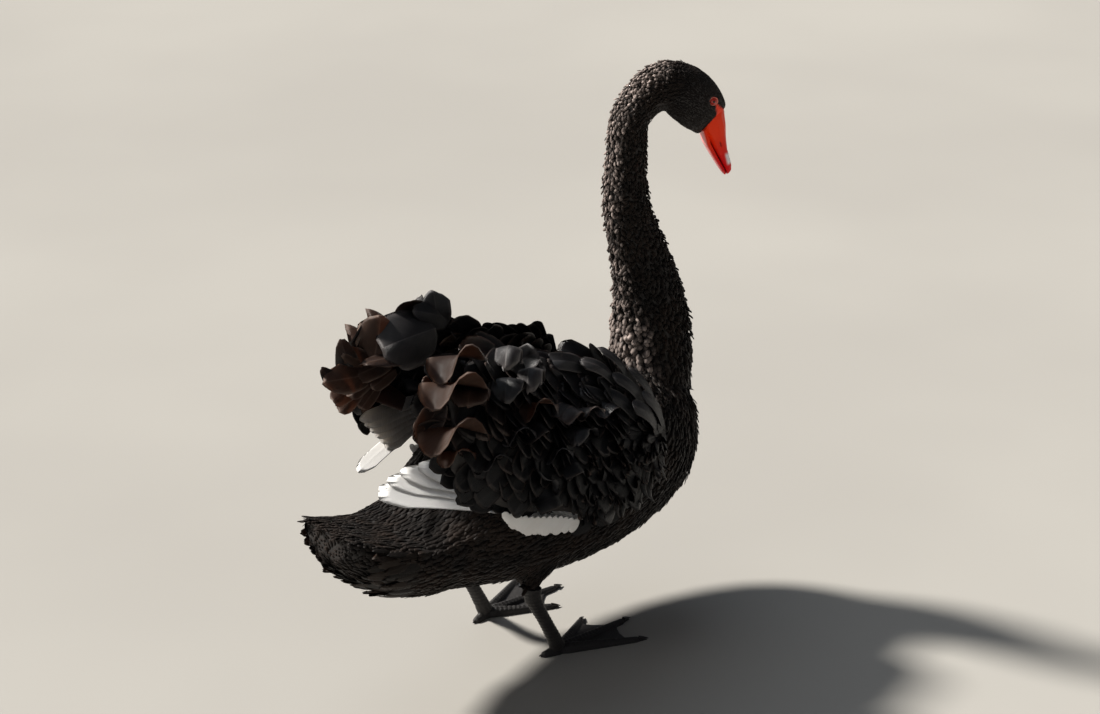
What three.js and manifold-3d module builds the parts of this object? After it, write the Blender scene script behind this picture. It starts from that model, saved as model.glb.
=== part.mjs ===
// A black swan, life size, standing with its wings raised over its back and its
// head turned a little to the right, looking down. Millimetres, +X is where the
// body points, +Y its left side, +Z up. The soles stand on the plane Z = 0. All sizes are
// drawn for a bird whose bill measures DRAWN_BILL from the forehead's feathers to its tip,
// with X counted from under the flanks, and grow to life size about the ground at the end.
import * as THREE from 'three';
import Module from 'manifold-3d';

const manifoldModule = await Module();
manifoldModule.setup();
const { Manifold, Mesh: ManifoldMesh } = manifoldModule;

const DRAWN_BILL = 72;
const BILL_LENGTH = 77;
const TO_LIFE = BILL_LENGTH / DRAWN_BILL;
const GAP = 0.3;
const RIGHT = -1;
const LEFT = 1;
const FULL_TURN = 2 * Math.PI;

const mix = (from, to, share) => from + (to - from) * share;
const radians = (degrees) => (degrees * Math.PI) / 180;
const vector = (x, y, z) => new THREE.Vector3(x, y, z);

// Finishes.
function finish(color, roughness) {
  return new THREE.MeshStandardMaterial({ color, roughness, metalness: 0 });
}
const plumage = finish(0x17130f, 0.85);
const wingBrown = finish(0x241b15, 0.75);
const whiteVane = finish(0xe9e8ec, 0.7);
const billRed = finish(0xd8331c, 0.4);
const eyeRed = finish(0x8c1410, 0.2);
const legBlack = finish(0x1d1a19, 0.65);

// A solid from its corner places and the corner numbers of its triangles.
function solidFrom(places, corners) {
  const coordinates = new Float32Array(places.flatMap((p) => [p.x, p.y, p.z]));
  const build = (order) => new Manifold(new ManifoldMesh({
    numProp: 3,
    vertProperties: coordinates,
    triVerts: new Uint32Array(order),
  }));
  const solid = build(corners);
  return solid.volume() > 0 ? solid : build([...corners].reverse());
}

// A solid from a closed three.js geometry.
function solidOf(geometry) {
  const found = new Map();
  const places = [];
  const corners = [];
  const loose = geometry.index ? geometry.toNonIndexed() : geometry;
  const position = loose.attributes.position;
  for (let index = 0; index < position.count; index += 1) {
    const place = new THREE.Vector3().fromBufferAttribute(position, index);
    const key = place.toArray().map((value) => value.toFixed(4)).join();
    if (!found.has(key)) {
      found.set(key, places.push(place) - 1);
    }
    corners.push(found.get(key));
  }
  return solidFrom(places, corners);
}

// A closed solid through rings of points, each ring with the same number of points.
function loft(rings) {
  const count = rings[0].length;
  const last = (rings.length - 1) * count;
  const places = rings.flat();
  const corners = [];
  for (let start = 0; start < last; start += count) {
    for (let step = 0; step < count; step += 1) {
      const here = start + step;
      const next = start + ((step + 1) % count);
      corners.push(here, next, here + count, next, next + count, here + count);
    }
  }
  const middleOf = (ring) => ring
    .reduce((sum, place) => sum.add(place), vector(0, 0, 0))
    .divideScalar(count);
  const firstMiddle = places.push(middleOf(rings[0])) - 1;
  const lastMiddle = places.push(middleOf(rings[rings.length - 1])) - 1;
  for (let step = 0; step < count; step += 1) {
    const next = (step + 1) % count;
    corners.push(firstMiddle, next, step, lastMiddle, last + step, last + next);
  }
  return solidFrom(places, corners);
}

// Rows of numbers read smoothly between stations that are evenly spaced along a body.
function between(stations, along) {
  const last = stations.length - 1;
  const place = THREE.MathUtils.clamp(along, 0, 1) * last;
  const index = Math.min(Math.floor(place), last - 1);
  const share = place - index;
  const before = stations[Math.max(index - 1, 0)];
  const here = stations[index];
  const next = stations[index + 1];
  const after = stations[Math.min(index + 2, last)];
  const square = share * share;
  const cube = square * share;
  return here.map((value, item) => {
    const slopeHere = (next[item] - before[item]) / 2;
    const slopeNext = (after[item] - value) / 2;
    return (2 * cube - 3 * square + 1) * value + (cube - 2 * square + share) * slopeHere
      + (3 * square - 2 * cube) * next[item] + (cube - square) * slopeNext;
  });
}

const steps = (count) => Array.from({ length: count + 1 }, (_, step) => step / count);
const around = (count) => Array.from({ length: count }, (_, step) => (FULL_TURN * step) / count);
const power = (value, exponent) => Math.sign(value) * Math.abs(value) ** exponent;

// Trunk: stations of X, height of the middle, half width, reach up and reach down.
const TRUNK_ROUND = 0.9;
const TRUNK_STATIONS = [
  [203, 207, 10, 12, 12],
  [190, 207, 50, 60, 50],
  [155, 206, 81, 82, 82],
  [103, 204, 98, 94, 103],
  [45, 202, 106, 100, 114],
  [-20, 200, 109, 100, 114],
  [-85, 197, 106, 90, 106],
  [-140, 189, 95, 66, 88],
  [-188, 180, 80, 38, 70],
];
const TRUNK_SIDES = 24;
const TRUNK_STEPS = 12;

function sectionAcross([x, middle, width, up, down], sides, grow, hollow) {
  return around(sides).map((angle) => {
    const across = Math.cos(angle);
    const high = Math.sin(angle);
    const reach = high > 0 ? (up + grow) * (1 - hollow * high ** 2) : down + grow;
    return vector(
      x,
      (width + grow) * power(across, TRUNK_ROUND),
      middle + reach * power(high, TRUNK_ROUND),
    );
  });
}

function trunkBody(grow) {
  return loft(steps(TRUNK_STEPS).map((along) => {
    const row = between(TRUNK_STATIONS, along);
    return sectionAcross(row, TRUNK_SIDES, grow, 0);
  }));
}

// Tail: short, deep at its root with the soft feathers under it, hollow along the top.
const TAIL_HOLLOW = 0.4;
const TAIL_HOLLOW_STARTS = 3;
const TAIL_STATIONS = [
  [-188.3, 180, 80, 38, 70],
  [-225, 181, 75, 27, 68],
  [-262, 189, 70, 26, 61],
  [-292, 199, 64, 26, 50],
  [-316, 209, 54, 22, 37],
  [-328, 215, 42, 14, 25],
];
const TAIL_SIDES = 20;
const TAIL_STEPS = 8;

function tailBody() {
  return loft(steps(TAIL_STEPS).map((along) => {
    const row = between(TAIL_STATIONS, along);
    const hollow = TAIL_HOLLOW * Math.min(1, along * TAIL_HOLLOW_STARTS);
    return sectionAcross(row, TAIL_SIDES, 0, hollow);
  }));
}

// Head frame: middle between the eyes, turned to the right about the upright.
const EYE_MIDDLE = vector(203.9, -41.4, 602.4);
const HEAD_TURN = radians(-25);
const aheadOf = (turn) => vector(Math.cos(turn), Math.sin(turn), 0);
const leftOf = (turn) => vector(-Math.sin(turn), Math.cos(turn), 0);
const HEAD_AHEAD = aheadOf(HEAD_TURN);
const HEAD_LEFT = leftOf(HEAD_TURN);

function inHead(ahead, left, up) {
  return EYE_MIDDLE.clone()
    .addScaledVector(HEAD_AHEAD, ahead)
    .addScaledVector(HEAD_LEFT, left)
    .add(vector(0, 0, up));
}

const fromHead = (ahead, up) => inHead(ahead, 0, up).toArray();

// Neck and head: one middle line from inside the breast over the nape to the bill's
// root, with the half width, the half depth and how far the head's turn is taken up.
const SPINE_STATIONS = [
  [120, 0, 214, 58, 55, 0],
  [147, 0, 252, 56, 57, 0],
  [160, 0, 295, 50, 49, 0],
  [158, 0, 340, 45, 45, 0],
  [150, 0, 385, 39, 39, 0],
  [136, 0, 428, 33, 33, 0],
  [122, 0, 468, 28.5, 28.5, 0.1],
  [115.5, 0, 508, 25.5, 25.5, 0.4],
  [116.5, -1, 548, 23.5, 23.5, 0.8],
  [...fromHead(-93, -18), 23, 23, 1],
  [...fromHead(-80, 1), 23, 24.5, 1],
  [...fromHead(-63, 14.5), 23.5, 27.5, 1],
  [...fromHead(-46.5, 16.5), 24.5, 30, 1],
  [...fromHead(-32, 10.5), 26, 32, 1],
  [...fromHead(-19.5, 0), 26.5, 32, 1],
  [...fromHead(-9, -11.5), 24.5, 30, 1],
  [...fromHead(-2, -19.5), 20, 27, 1],
  [...fromHead(2.5, -25.5), 14.5, 23, 1],
];
const SPINE_CUTS = { breast: 0, low: 0.24, high: 0.44, nape: 0.655, bill: 1 };
const SPINE_SIDES = 16;
const SMALL_STEP = 0.002;

function tubeRing(stations, along, sides, grow, slide) {
  const [x, y, z, width, depth, turned] = between(stations, along);
  const ahead = vector(...between(stations, Math.min(along + SMALL_STEP, 1)));
  const behind = vector(...between(stations, Math.max(along - SMALL_STEP, 0)));
  const run = ahead.sub(behind).normalize();
  const left = leftOf(HEAD_TURN * turned);
  left.addScaledVector(run, -left.dot(run)).normalize();
  const front = left.clone().cross(run);
  const middle = vector(x, y, z).addScaledVector(run, slide);
  return around(sides).map((angle) => middle.clone()
    .addScaledVector(left, (width + grow) * Math.cos(angle))
    .addScaledVector(front, (depth + grow) * Math.sin(angle)));
}

function tube(stations, sides, from, to, count, grow = 0) {
  return loft(steps(count).map((share) => {
    const atEnd = (share === 0 ? 1 : 0) - (share === 1 ? 1 : 0);
    return tubeRing(stations, mix(from, to, share), sides, grow, atEnd * (GAP / 2 - grow));
  }));
}

// Bill: both halves hang from the head's mouth line, the upper one ends in a nail.
// Stations of the top line and the bottom line in the head frame, and the half width.
const UPPER_BILL_STATIONS = [
  [11, -7, -8, -38.5, 17],
  [18.6, -20, -2, -46.5, 15],
  [19.8, -40, 5, -58.5, 12],
  [22, -60, 12, -71, 10.5],
  [26, -74, 17.5, -81, 10.5],
  [28.3, -84, 21.5, -88.5, 8.5],
  [26, -91, 23.5, -92.3, 3],
];
const LOWER_BILL_STATIONS = [
  [-7, -41, -10.5, -44.5, 12.5],
  [-0.8, -49.6, -4.6, -52.6, 12],
  [5.2, -60.6, 1.4, -63.4, 10.5],
  [11.2, -71.6, 8, -74, 9.5],
  [16.8, -81.6, 14.2, -84, 9],
  [20.8, -89, 19, -91, 6.5],
  [22.6, -92.6, 21.6, -93.6, 2],
];
const BILL_SIDES = 12;
const BILL_STEPS = 8;
const BILL_ROUND = 0.8;
const MOUTH_FLAT = 0.45;

function billHalf(stations, flatSide, grow) {
  const rings = steps(BILL_STEPS).map((along) => {
    const [topAhead, topUp, lowAhead, lowUp, width] = between(stations, along);
    const more = grow / Math.hypot(topAhead - lowAhead, topUp - lowUp);
    return around(BILL_SIDES).map((angle) => {
      const high = Math.sin(angle);
      const reach = (0.5 + more) * power(high, high * flatSide > 0 ? 1 : MOUTH_FLAT);
      const across = (width + grow) * power(Math.cos(angle), BILL_ROUND);
      const up = 0.5 + reach;
      return inHead(mix(lowAhead, topAhead, up), across, mix(lowUp, topUp, up));
    });
  });
  const behind = rings[0].map((place) => place.clone().addScaledVector(HEAD_AHEAD, -grow));
  return loft(grow > 0 ? [behind, ...rings] : rings);
}

// Eye: a ball sunk in the side of the head.
const EYE_RADIUS = 5.6;
const EYE_PLACE = { ahead: -2, out: 17.7, up: 1 };
const EYE_ROWS = 6;
const EYE_SIDES = 12;

function ball(middle, radius, rows, sides) {
  const rings = [];
  for (let row = 1; row < rows; row += 1) {
    const tilt = (Math.PI * row) / rows;
    rings.push(around(sides).map((angle) => middle.clone().add(vector(
      radius * Math.sin(tilt) * Math.cos(angle),
      radius * Math.sin(tilt) * Math.sin(angle),
      radius * Math.cos(tilt),
    ))));
  }
  return loft(rings);
}

function eyeBall(side, grow) {
  const middle = inHead(EYE_PLACE.ahead, EYE_PLACE.out * side, EYE_PLACE.up);
  return ball(middle, EYE_RADIUS + grow, EYE_ROWS, EYE_SIDES);
}

// Legs: a feathered thigh and a bare shank on one middle line that bends at the hock,
// in the same kind of stations as the neck, for the left side and without any turn.
const LEG_STATIONS = [
  [-40, 58, 190, 30, 44, 0],
  [-55, 60, 158, 29, 40, 0],
  [-70, 62, 128, 22, 29, 0],
  [-83, 62, 105, 12, 15, 0],
  [-86, 62, 90, 9.5, 11.5, 0],
  [-78, 62, 70, 6.8, 8.5, 0],
  [-67, 62, 50, 6.2, 7.5, 0],
  [-56, 62, 29, 7, 8, 0],
  [-46, 62, 9, 9, 9, 0],
];
const HOCK_CUT = 0.45;
const LEG_SIDES = 12;
const TOE_ROOT = vector(-44, 62, 0);
const TOE_LENGTH = { inner: 88, middle: 116, outer: 106, hind: 24 };
const TOE_SPREAD = {
  inner: radians(28),
  middle: radians(2),
  outer: radians(-26),
  hind: radians(168),
};
const TOE_HALF_WIDTH = 7;
const TOE_HEIGHT = 11;
const TOE_END_HEIGHT = 9;
const WEB_THICKNESS = 2.6;
const WEB_ENDS = 0.86;
const WEB_HOLLOW = 0.16;
const WEB_BEHIND = 4;
const WEB_SEGMENTS = 4;

// Shares of a toe's length, half width and height; the claw takes the last tenth.
const TOE_STATIONS = [
  [-0.06, 0.7, 0.8],
  [0.1, 1, 1],
  [0.4, 0.85, 0.85],
  [0.88, 0.6, 0.6],
  [0.9, 0.4, 0.5],
  [1, 0.08, 0.12],
];

function legTube(side, from, to, count, grow) {
  const stations = LEG_STATIONS.map(([x, y, ...rest]) => [x, y * side, ...rest]);
  return tube(stations, LEG_SIDES, from, to, count, grow);
}

// A toe lies flat on the ground, round on top, with a claw that narrows at its end.
function toe(side, name, lift) {
  const turn = TOE_SPREAD[name] * side * -1;
  const ahead = aheadOf(turn);
  const left = leftOf(turn);
  const root = vector(TOE_ROOT.x, TOE_ROOT.y * side, lift);
  return loft(TOE_STATIONS.map(([along, wide, high]) => {
    const reach = along * TOE_LENGTH[name];
    const top = high * mix(TOE_HEIGHT, TOE_END_HEIGHT, along);
    return [0, 45, 90, 135, 180].map((degrees) => root.clone()
      .addScaledVector(ahead, reach)
      .addScaledVector(left, wide * TOE_HALF_WIDTH * Math.cos(radians(degrees)))
      .add(vector(0, 0, top * Math.sin(radians(degrees)))));
  }));
}

// Web: skin between the three front toes, its front edge hollow between the toe ends.
function web(side, lift) {
  const root = new THREE.Vector2(TOE_ROOT.x - WEB_BEHIND, TOE_ROOT.y * side);
  const [inner, middle, outer] = ['inner', 'middle', 'outer'].map((name) => {
    const ahead = aheadOf(TOE_SPREAD[name] * side * -1);
    const reach = TOE_LENGTH[name] * WEB_ENDS;
    return new THREE.Vector2(root.x + ahead.x * reach, root.y + ahead.y * reach);
  });
  const hollowOf = (one, other) => one.clone().lerp(other, 0.5).lerp(root, WEB_HOLLOW);
  const innerHollow = hollowOf(inner, middle);
  const outerHollow = hollowOf(outer, middle);
  const outline = new THREE.Shape();
  outline.moveTo(root.x, root.y);
  outline.lineTo(inner.x, inner.y);
  outline.quadraticCurveTo(innerHollow.x, innerHollow.y, middle.x, middle.y);
  outline.quadraticCurveTo(outerHollow.x, outerHollow.y, outer.x, outer.y);
  const skin = new THREE.ExtrudeGeometry(outline, {
    depth: WEB_THICKNESS,
    bevelEnabled: false,
    curveSegments: WEB_SEGMENTS,
  });
  return solidOf(skin.translate(0, 0, lift));
}

function foot(side, lift) {
  const toes = Object.keys(TOE_LENGTH).map((name) => toe(side, name, lift));
  return toes.reduce((whole, part) => whole.add(part), web(side, lift));
}

// Wing: a raised shell from the shoulder back, between an upper edge and a lower edge.
// Stations of both edges, the bulge between them and the thickness, for the left side.
const WING_STATIONS = [
  [98, 84, 252, 92, 90, 226, 3, 8],
  [70, 74, 290, 62, 108, 200, 12, 16],
  [28, 64, 326, 12, 118, 186, 20, 20],
  [-45, 58, 352, -45, 122, 188, 26, 20],
  [-105, 64, 380, -100, 123, 211, 28, 18],
  [-155, 70, 402, -155, 119, 228, 26, 15],
  [-202, 78, 402, -206, 109, 258, 18, 11],
  [-236, 86, 380, -244, 98, 308, 8, 6],
];
const WING_STEPS = 10;
const WING_ACROSS = 6;
const WING_EDGE = 0.35;
const WING_CREST = 0.25;

function wingPoint(along, down, sink) {
  const [topX, topY, topZ, lowX, lowY, lowZ, bulge, thick] = between(WING_STATIONS, along);
  const arch = Math.sin(Math.PI * down);
  const depth = sink * thick * mix(WING_EDGE, 1, arch);
  return vector(
    mix(topX, lowX, down),
    mix(topY, lowY, down) + bulge * arch - depth,
    mix(topZ, lowZ, down) + bulge * WING_CREST * arch * (1 - down),
  );
}

// The left wing is held closer over the back, a little shorter and higher than the right one.
const HELD_CLOSER = { [RIGHT]: 0, [LEFT]: 26 };
const HELD_AHEAD = { [RIGHT]: 0, [LEFT]: 15 };
const HELD_HIGHER = { [RIGHT]: 0, [LEFT]: 5 };
const SHOULDER_X = 60;
const WING_REACH = 330;

function onSide(place, side) {
  const back = Math.max(0, (SHOULDER_X - place.x) / WING_REACH);
  return vector(
    place.x + HELD_AHEAD[side] * back,
    (place.y - HELD_CLOSER[side] * back ** 2) * side,
    place.z + HELD_HIGHER[side] * back,
  );
}

function wingShell(side) {
  return loft(steps(WING_STEPS).map((along) => {
    const outside = steps(WING_ACROSS).map((down) => wingPoint(along, down, 0));
    const inside = steps(WING_ACROSS).map((down) => wingPoint(along, 1 - down, 1));
    return [...outside, ...inside].map((place) => onSide(place, side));
  }));
}

// Large wing feathers in rows along the shell: each has its root on the shell, runs back
// and curls away from it toward the tip. Down counts from the upper edge to the lower one,
// from and to are the stretch of the row, tilt, lift and curl are in radians.
const CURL_ROWS = [
  { down: 0.03, from: 0.36, to: 0.97, count: 6, length: 66, half: 25, tilt: -0.12, lift: 0.05, curl: 2 },
  { down: 0.32, from: 0.5, to: 0.96, count: 4, length: 64, half: 26, tilt: -0.1, lift: 0.15, curl: 2 },
  { down: 0.62, from: 0.56, to: 0.95, count: 3, length: 62, half: 25, tilt: 0, lift: 0.15, curl: 1.9 },
  { down: 0.88, from: 0.74, to: 0.94, count: 2, length: 54, half: 22, tilt: 0, lift: 0.1, curl: 1.7 },
];
const CURL_DEEP = 0.4;
const CURL_THICKNESS = 3;
const CURL_CUP = 0.12;
const CURL_ROOT_WIDTH = 0.75;
const CURL_WIDEST = 0.475;
const CURL_LEAST = 0.03;
const CURL_STEPS = 5;

// Corners of a feather's section: shares of its half width and of its thickness.
const CURL_SECTION = [[-1, 0], [0, 0.5], [1, 0], [0, -0.5]];

function curledFeather(side, along, row) {
  const shellPoint = (back, across) => wingPoint(along + back, row.down + across, CURL_DEEP);
  const back = shellPoint(SMALL_STEP, 0).sub(shellPoint(-SMALL_STEP, 0)).normalize();
  const acrossStep = shellPoint(0, SMALL_STEP).sub(shellPoint(0, -SMALL_STEP)).normalize();
  const run = back.clone().addScaledVector(acrossStep, row.tilt).normalize();
  const across = acrossStep.clone().addScaledVector(run, -acrossStep.dot(run)).normalize();
  const out = across.clone().cross(run);
  if (out.y < 0) {
    out.negate();
  }
  const middle = shellPoint(0, 0);
  const rings = steps(CURL_STEPS).map((share) => {
    const bend = row.lift + row.curl * share ** 2;
    const forward = run.clone().multiplyScalar(Math.cos(bend)).addScaledVector(out, Math.sin(bend));
    const face = out.clone().multiplyScalar(Math.cos(bend)).addScaledVector(run, -Math.sin(bend));
    const round = Math.max(CURL_LEAST, 1 - (2 * (share - CURL_WIDEST)) ** 4);
    const half = row.half * Math.sqrt(round) * mix(CURL_ROOT_WIDTH, 1, share);
    const ring = CURL_SECTION.map(([wide, high]) => middle.clone()
      .addScaledVector(across, wide * half)
      .addScaledVector(face, high * CURL_THICKNESS - wide ** 2 * half * CURL_CUP));
    middle.addScaledVector(forward, row.length / CURL_STEPS);
    return ring.map((place) => onSide(place, side));
  });
  return loft(rings);
}

function wingCover(side) {
  let whole = wingShell(side);
  CURL_ROWS.forEach((row) => {
    for (let index = 0; index < row.count; index += 1) {
      const along = mix(row.from, row.to, index / (row.count - 1));
      whole = whole.add(curledFeather(side, along, row));
    }
  });
  return whole;
}

// White flight feathers: a folded blade that shows below and behind the cover.
// Stations of its middle, half thickness and half height, for the left side.
const PRIMARY_STATIONS = [
  [-70, 117, 196, 4, 4],
  [-115, 118, 209, 4.5, 18],
  [-160, 111, 235, 5, 24],
  [-205, 95, 260, 5, 27],
  [-245, 72, 276, 4.5, 26],
  [-275, 48, 278, 3, 17],
  [-290, 38, 275, 1.5, 5],
];

const PRIMARY_LEAN = 0.25;
const PRIMARY_STEPS = 9;
const PRIMARY_SIDES = 10;

function primaries(side, grow) {
  return loft(steps(PRIMARY_STEPS).map((along) => {
    const [x, y, z, thick, high] = between(PRIMARY_STATIONS, along);
    return around(PRIMARY_SIDES).map((angle) => onSide(vector(
      x,
      y + (thick + grow) * Math.cos(angle) + high * PRIMARY_LEAN * Math.sin(angle),
      z + (high + grow) * Math.sin(angle),
    ), side));
  }));
}

// The swan is put together: each piece gives way to the ones that it carries.
const swan = new THREE.Group();
swan.name = 'black_swan';

function addPiece(name, solid, material) {
  const { vertProperties, triVerts, numProp } = solid.getMesh();
  const geometry = new THREE.BufferGeometry();
  const places = new Float32Array((vertProperties.length / numProp) * 3);
  for (let index = 0; index < places.length / 3; index += 1) {
    places[index * 3] = vertProperties[index * numProp];
    places[index * 3 + 1] = vertProperties[index * numProp + 1];
    places[index * 3 + 2] = vertProperties[index * numProp + 2];
  }
  geometry.setAttribute('position', new THREE.BufferAttribute(places, 3));
  geometry.setIndex(Array.from(triVerts));
  geometry.computeVertexNormals();
  const mesh = new THREE.Mesh(geometry, material);
  mesh.name = name;
  swan.add(mesh);
}

const spineTube = (from, to, count, grow) => tube(
  SPINE_STATIONS,
  SPINE_SIDES,
  SPINE_CUTS[from],
  SPINE_CUTS[to],
  count,
  grow,
);

let trunk = trunkBody(0).subtract(spineTube('breast', 'low', 6, GAP));
const trunkGrown = trunkBody(GAP);
addPiece('neck_lower', spineTube('breast', 'low', 6), plumage);
addPiece('neck_middle', spineTube('low', 'high', 7), plumage);
addPiece('neck_upper', spineTube('high', 'nape', 8), plumage);

const upperBill = billHalf(UPPER_BILL_STATIONS, 1, 0);
const upperBillGrown = billHalf(UPPER_BILL_STATIONS, 1, GAP);
const headGrown = spineTube('nape', 'bill', 9, GAP);
let head = spineTube('nape', 'bill', 9).subtract(upperBillGrown);
const lowerBill = billHalf(LOWER_BILL_STATIONS, -1, 0);
addPiece('bill_upper', upperBill, billRed);
addPiece('bill_lower', lowerBill.subtract(headGrown).subtract(upperBillGrown), billRed);

[RIGHT, LEFT].forEach((side) => {
  const word = side === RIGHT ? 'right' : 'left';
  head = head.subtract(eyeBall(side, GAP));
  addPiece(`eye_${word}`, eyeBall(side, 0), eyeRed);

  const thigh = (grow) => legTube(side, 0, HOCK_CUT, 5, grow);
  const shank = (grow) => legTube(side, HOCK_CUT, 1, 6, grow);
  trunk = trunk.subtract(thigh(GAP)).subtract(shank(GAP));
  addPiece(`thigh_${word}`, thigh(0), plumage);
  addPiece(`shank_${word}`, shank(0).subtract(foot(side, GAP)), legBlack);
  addPiece(`foot_${word}`, foot(side, 0), legBlack);
  const blade = primaries(side, 0).subtract(trunkGrown);
  addPiece(`primaries_${word}`, blade, whiteVane);
  const cover = wingCover(side).subtract(trunkGrown).subtract(primaries(side, GAP));
  addPiece(`wing_${word}`, cover, wingBrown);
});

addPiece('head', head, plumage);
addPiece('trunk', trunk, plumage);
addPiece('tail', tailBody(), plumage);

// The origin goes under the middle of the whole swan, which grows to its real size.
const middle = new THREE.Box3().setFromObject(swan).getCenter(vector(0, 0, 0));
swan.children.forEach((piece) => {
  piece.geometry.translate(-middle.x, -middle.y, 0);
  piece.geometry.scale(TO_LIFE, TO_LIFE, TO_LIFE);
});

export default swan;
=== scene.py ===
"""A black swan, life size, standing with raised, ruffled wings. Metres, +X is where its body points."""
import math

import bpy
import numpy as np
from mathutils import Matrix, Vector
from mathutils.kdtree import KDTree


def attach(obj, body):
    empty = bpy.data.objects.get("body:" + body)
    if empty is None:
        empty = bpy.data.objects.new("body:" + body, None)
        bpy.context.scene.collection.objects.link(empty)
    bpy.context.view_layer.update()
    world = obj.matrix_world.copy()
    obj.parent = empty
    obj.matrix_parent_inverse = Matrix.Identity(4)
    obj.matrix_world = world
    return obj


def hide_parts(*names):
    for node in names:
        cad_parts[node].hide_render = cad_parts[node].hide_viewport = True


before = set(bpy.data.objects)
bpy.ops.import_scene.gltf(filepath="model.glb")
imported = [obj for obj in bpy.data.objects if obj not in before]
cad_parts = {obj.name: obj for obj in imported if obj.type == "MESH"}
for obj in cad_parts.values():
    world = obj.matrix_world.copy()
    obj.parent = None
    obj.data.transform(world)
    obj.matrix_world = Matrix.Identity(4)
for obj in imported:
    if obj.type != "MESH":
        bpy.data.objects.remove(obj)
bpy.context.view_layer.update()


# Studio: a plain pale floor that runs out of view, one soft light from the left and behind,
# three weaker ones, and a camera above the swan's right rear quarter.
LOOKED_AT = Vector((0.052, 0.005, 0.355))
CAMERA_AZIMUTH = math.radians(-43)
CAMERA_ELEVATION = math.radians(22)
CAMERA_DISTANCE = 3.529
LENS = 96.4
ROOM_COLOUR, ROOM_STRENGTH = (0.86, 0.9, 1, 1), 0.09


def toward(azimuth, elevation):
    """The direction from the swan to a place round it."""
    return Vector((
        math.sin(azimuth) * math.cos(elevation),
        -math.cos(azimuth) * math.cos(elevation),
        math.sin(elevation),
    ))


def aimed(piece, place, at):
    """Puts a camera or a light at a place and turns it to look at another."""
    piece.location = place
    piece.rotation_euler = (at - place).to_track_quat("-Z", "Y").to_euler()


camera_data = bpy.data.cameras.new("camera")
camera_data.lens = LENS
camera_data.sensor_width = 36
camera_data.clip_end = 50
camera = bpy.data.objects.new("camera", camera_data)
bpy.context.collection.objects.link(camera)
aimed(camera, LOOKED_AT + toward(CAMERA_AZIMUTH, CAMERA_ELEVATION) * CAMERA_DISTANCE, LOOKED_AT)
bpy.context.scene.camera = camera


def soft_light(name, azimuth, elevation, width, strength, colour):
    """A light so far off that it falls evenly on everything, as wide in the sky as given."""
    data = bpy.data.lights.new(name, "SUN")
    data.angle = math.radians(width)
    data.energy = strength
    data.color = colour
    light = bpy.data.objects.new(name, data)
    bpy.context.collection.objects.link(light)
    aimed(light, toward(math.radians(azimuth), math.radians(elevation)), Vector((0, 0, 0)))


soft_light("light_key", -152, 42, 8, 7.0, (1, 0.96, 0.9))
soft_light("light_left", -95, 38, 24, 0.22, (1, 0.98, 0.95))
soft_light("light_front", -60, 6, 34, 0.20, (0.98, 0.98, 1))
soft_light("light_top", 178, 62, 50, 0.50, (0.80, 0.89, 1))

world = bpy.data.worlds.new("room")
world.use_nodes = True
world.node_tree.nodes["Background"].inputs["Color"].default_value = ROOM_COLOUR
world.node_tree.nodes["Background"].inputs["Strength"].default_value = ROOM_STRENGTH
bpy.context.scene.world = world
bpy.context.scene.view_settings.view_transform = "Standard"


class Value:
    """One output of a shader node: arithmetic on it adds Math nodes."""

    def __init__(self, finish, socket):
        self.finish = finish
        self.socket = socket

    def _math(self, operation, first, second=0.0):
        return self.finish.node("ShaderNodeMath", {"operation": operation}, {0: first, 1: second})

    def __add__(self, other):
        return self._math("ADD", self, other)

    def __radd__(self, other):
        return self._math("ADD", other, self)

    def __sub__(self, other):
        return self._math("SUBTRACT", self, other)

    def __rsub__(self, other):
        return self._math("SUBTRACT", other, self)

    def __mul__(self, other):
        return self._math("MULTIPLY", self, other)

    def __rmul__(self, other):
        return self._math("MULTIPLY", other, self)

    def __pow__(self, other):
        return self._math("POWER", self, other)

    def __abs__(self):
        return self._math("ABSOLUTE", self)

    def sine(self):
        return self._math("SINE", self)

    def between(self, low, high):
        """0 below low, 1 above high, a smooth rise between them."""
        return self.finish.node(
            "ShaderNodeMapRange",
            {"interpolation_type": "SMOOTHSTEP"},
            {"Value": self, "From Min": low, "From Max": high},
        )


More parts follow.
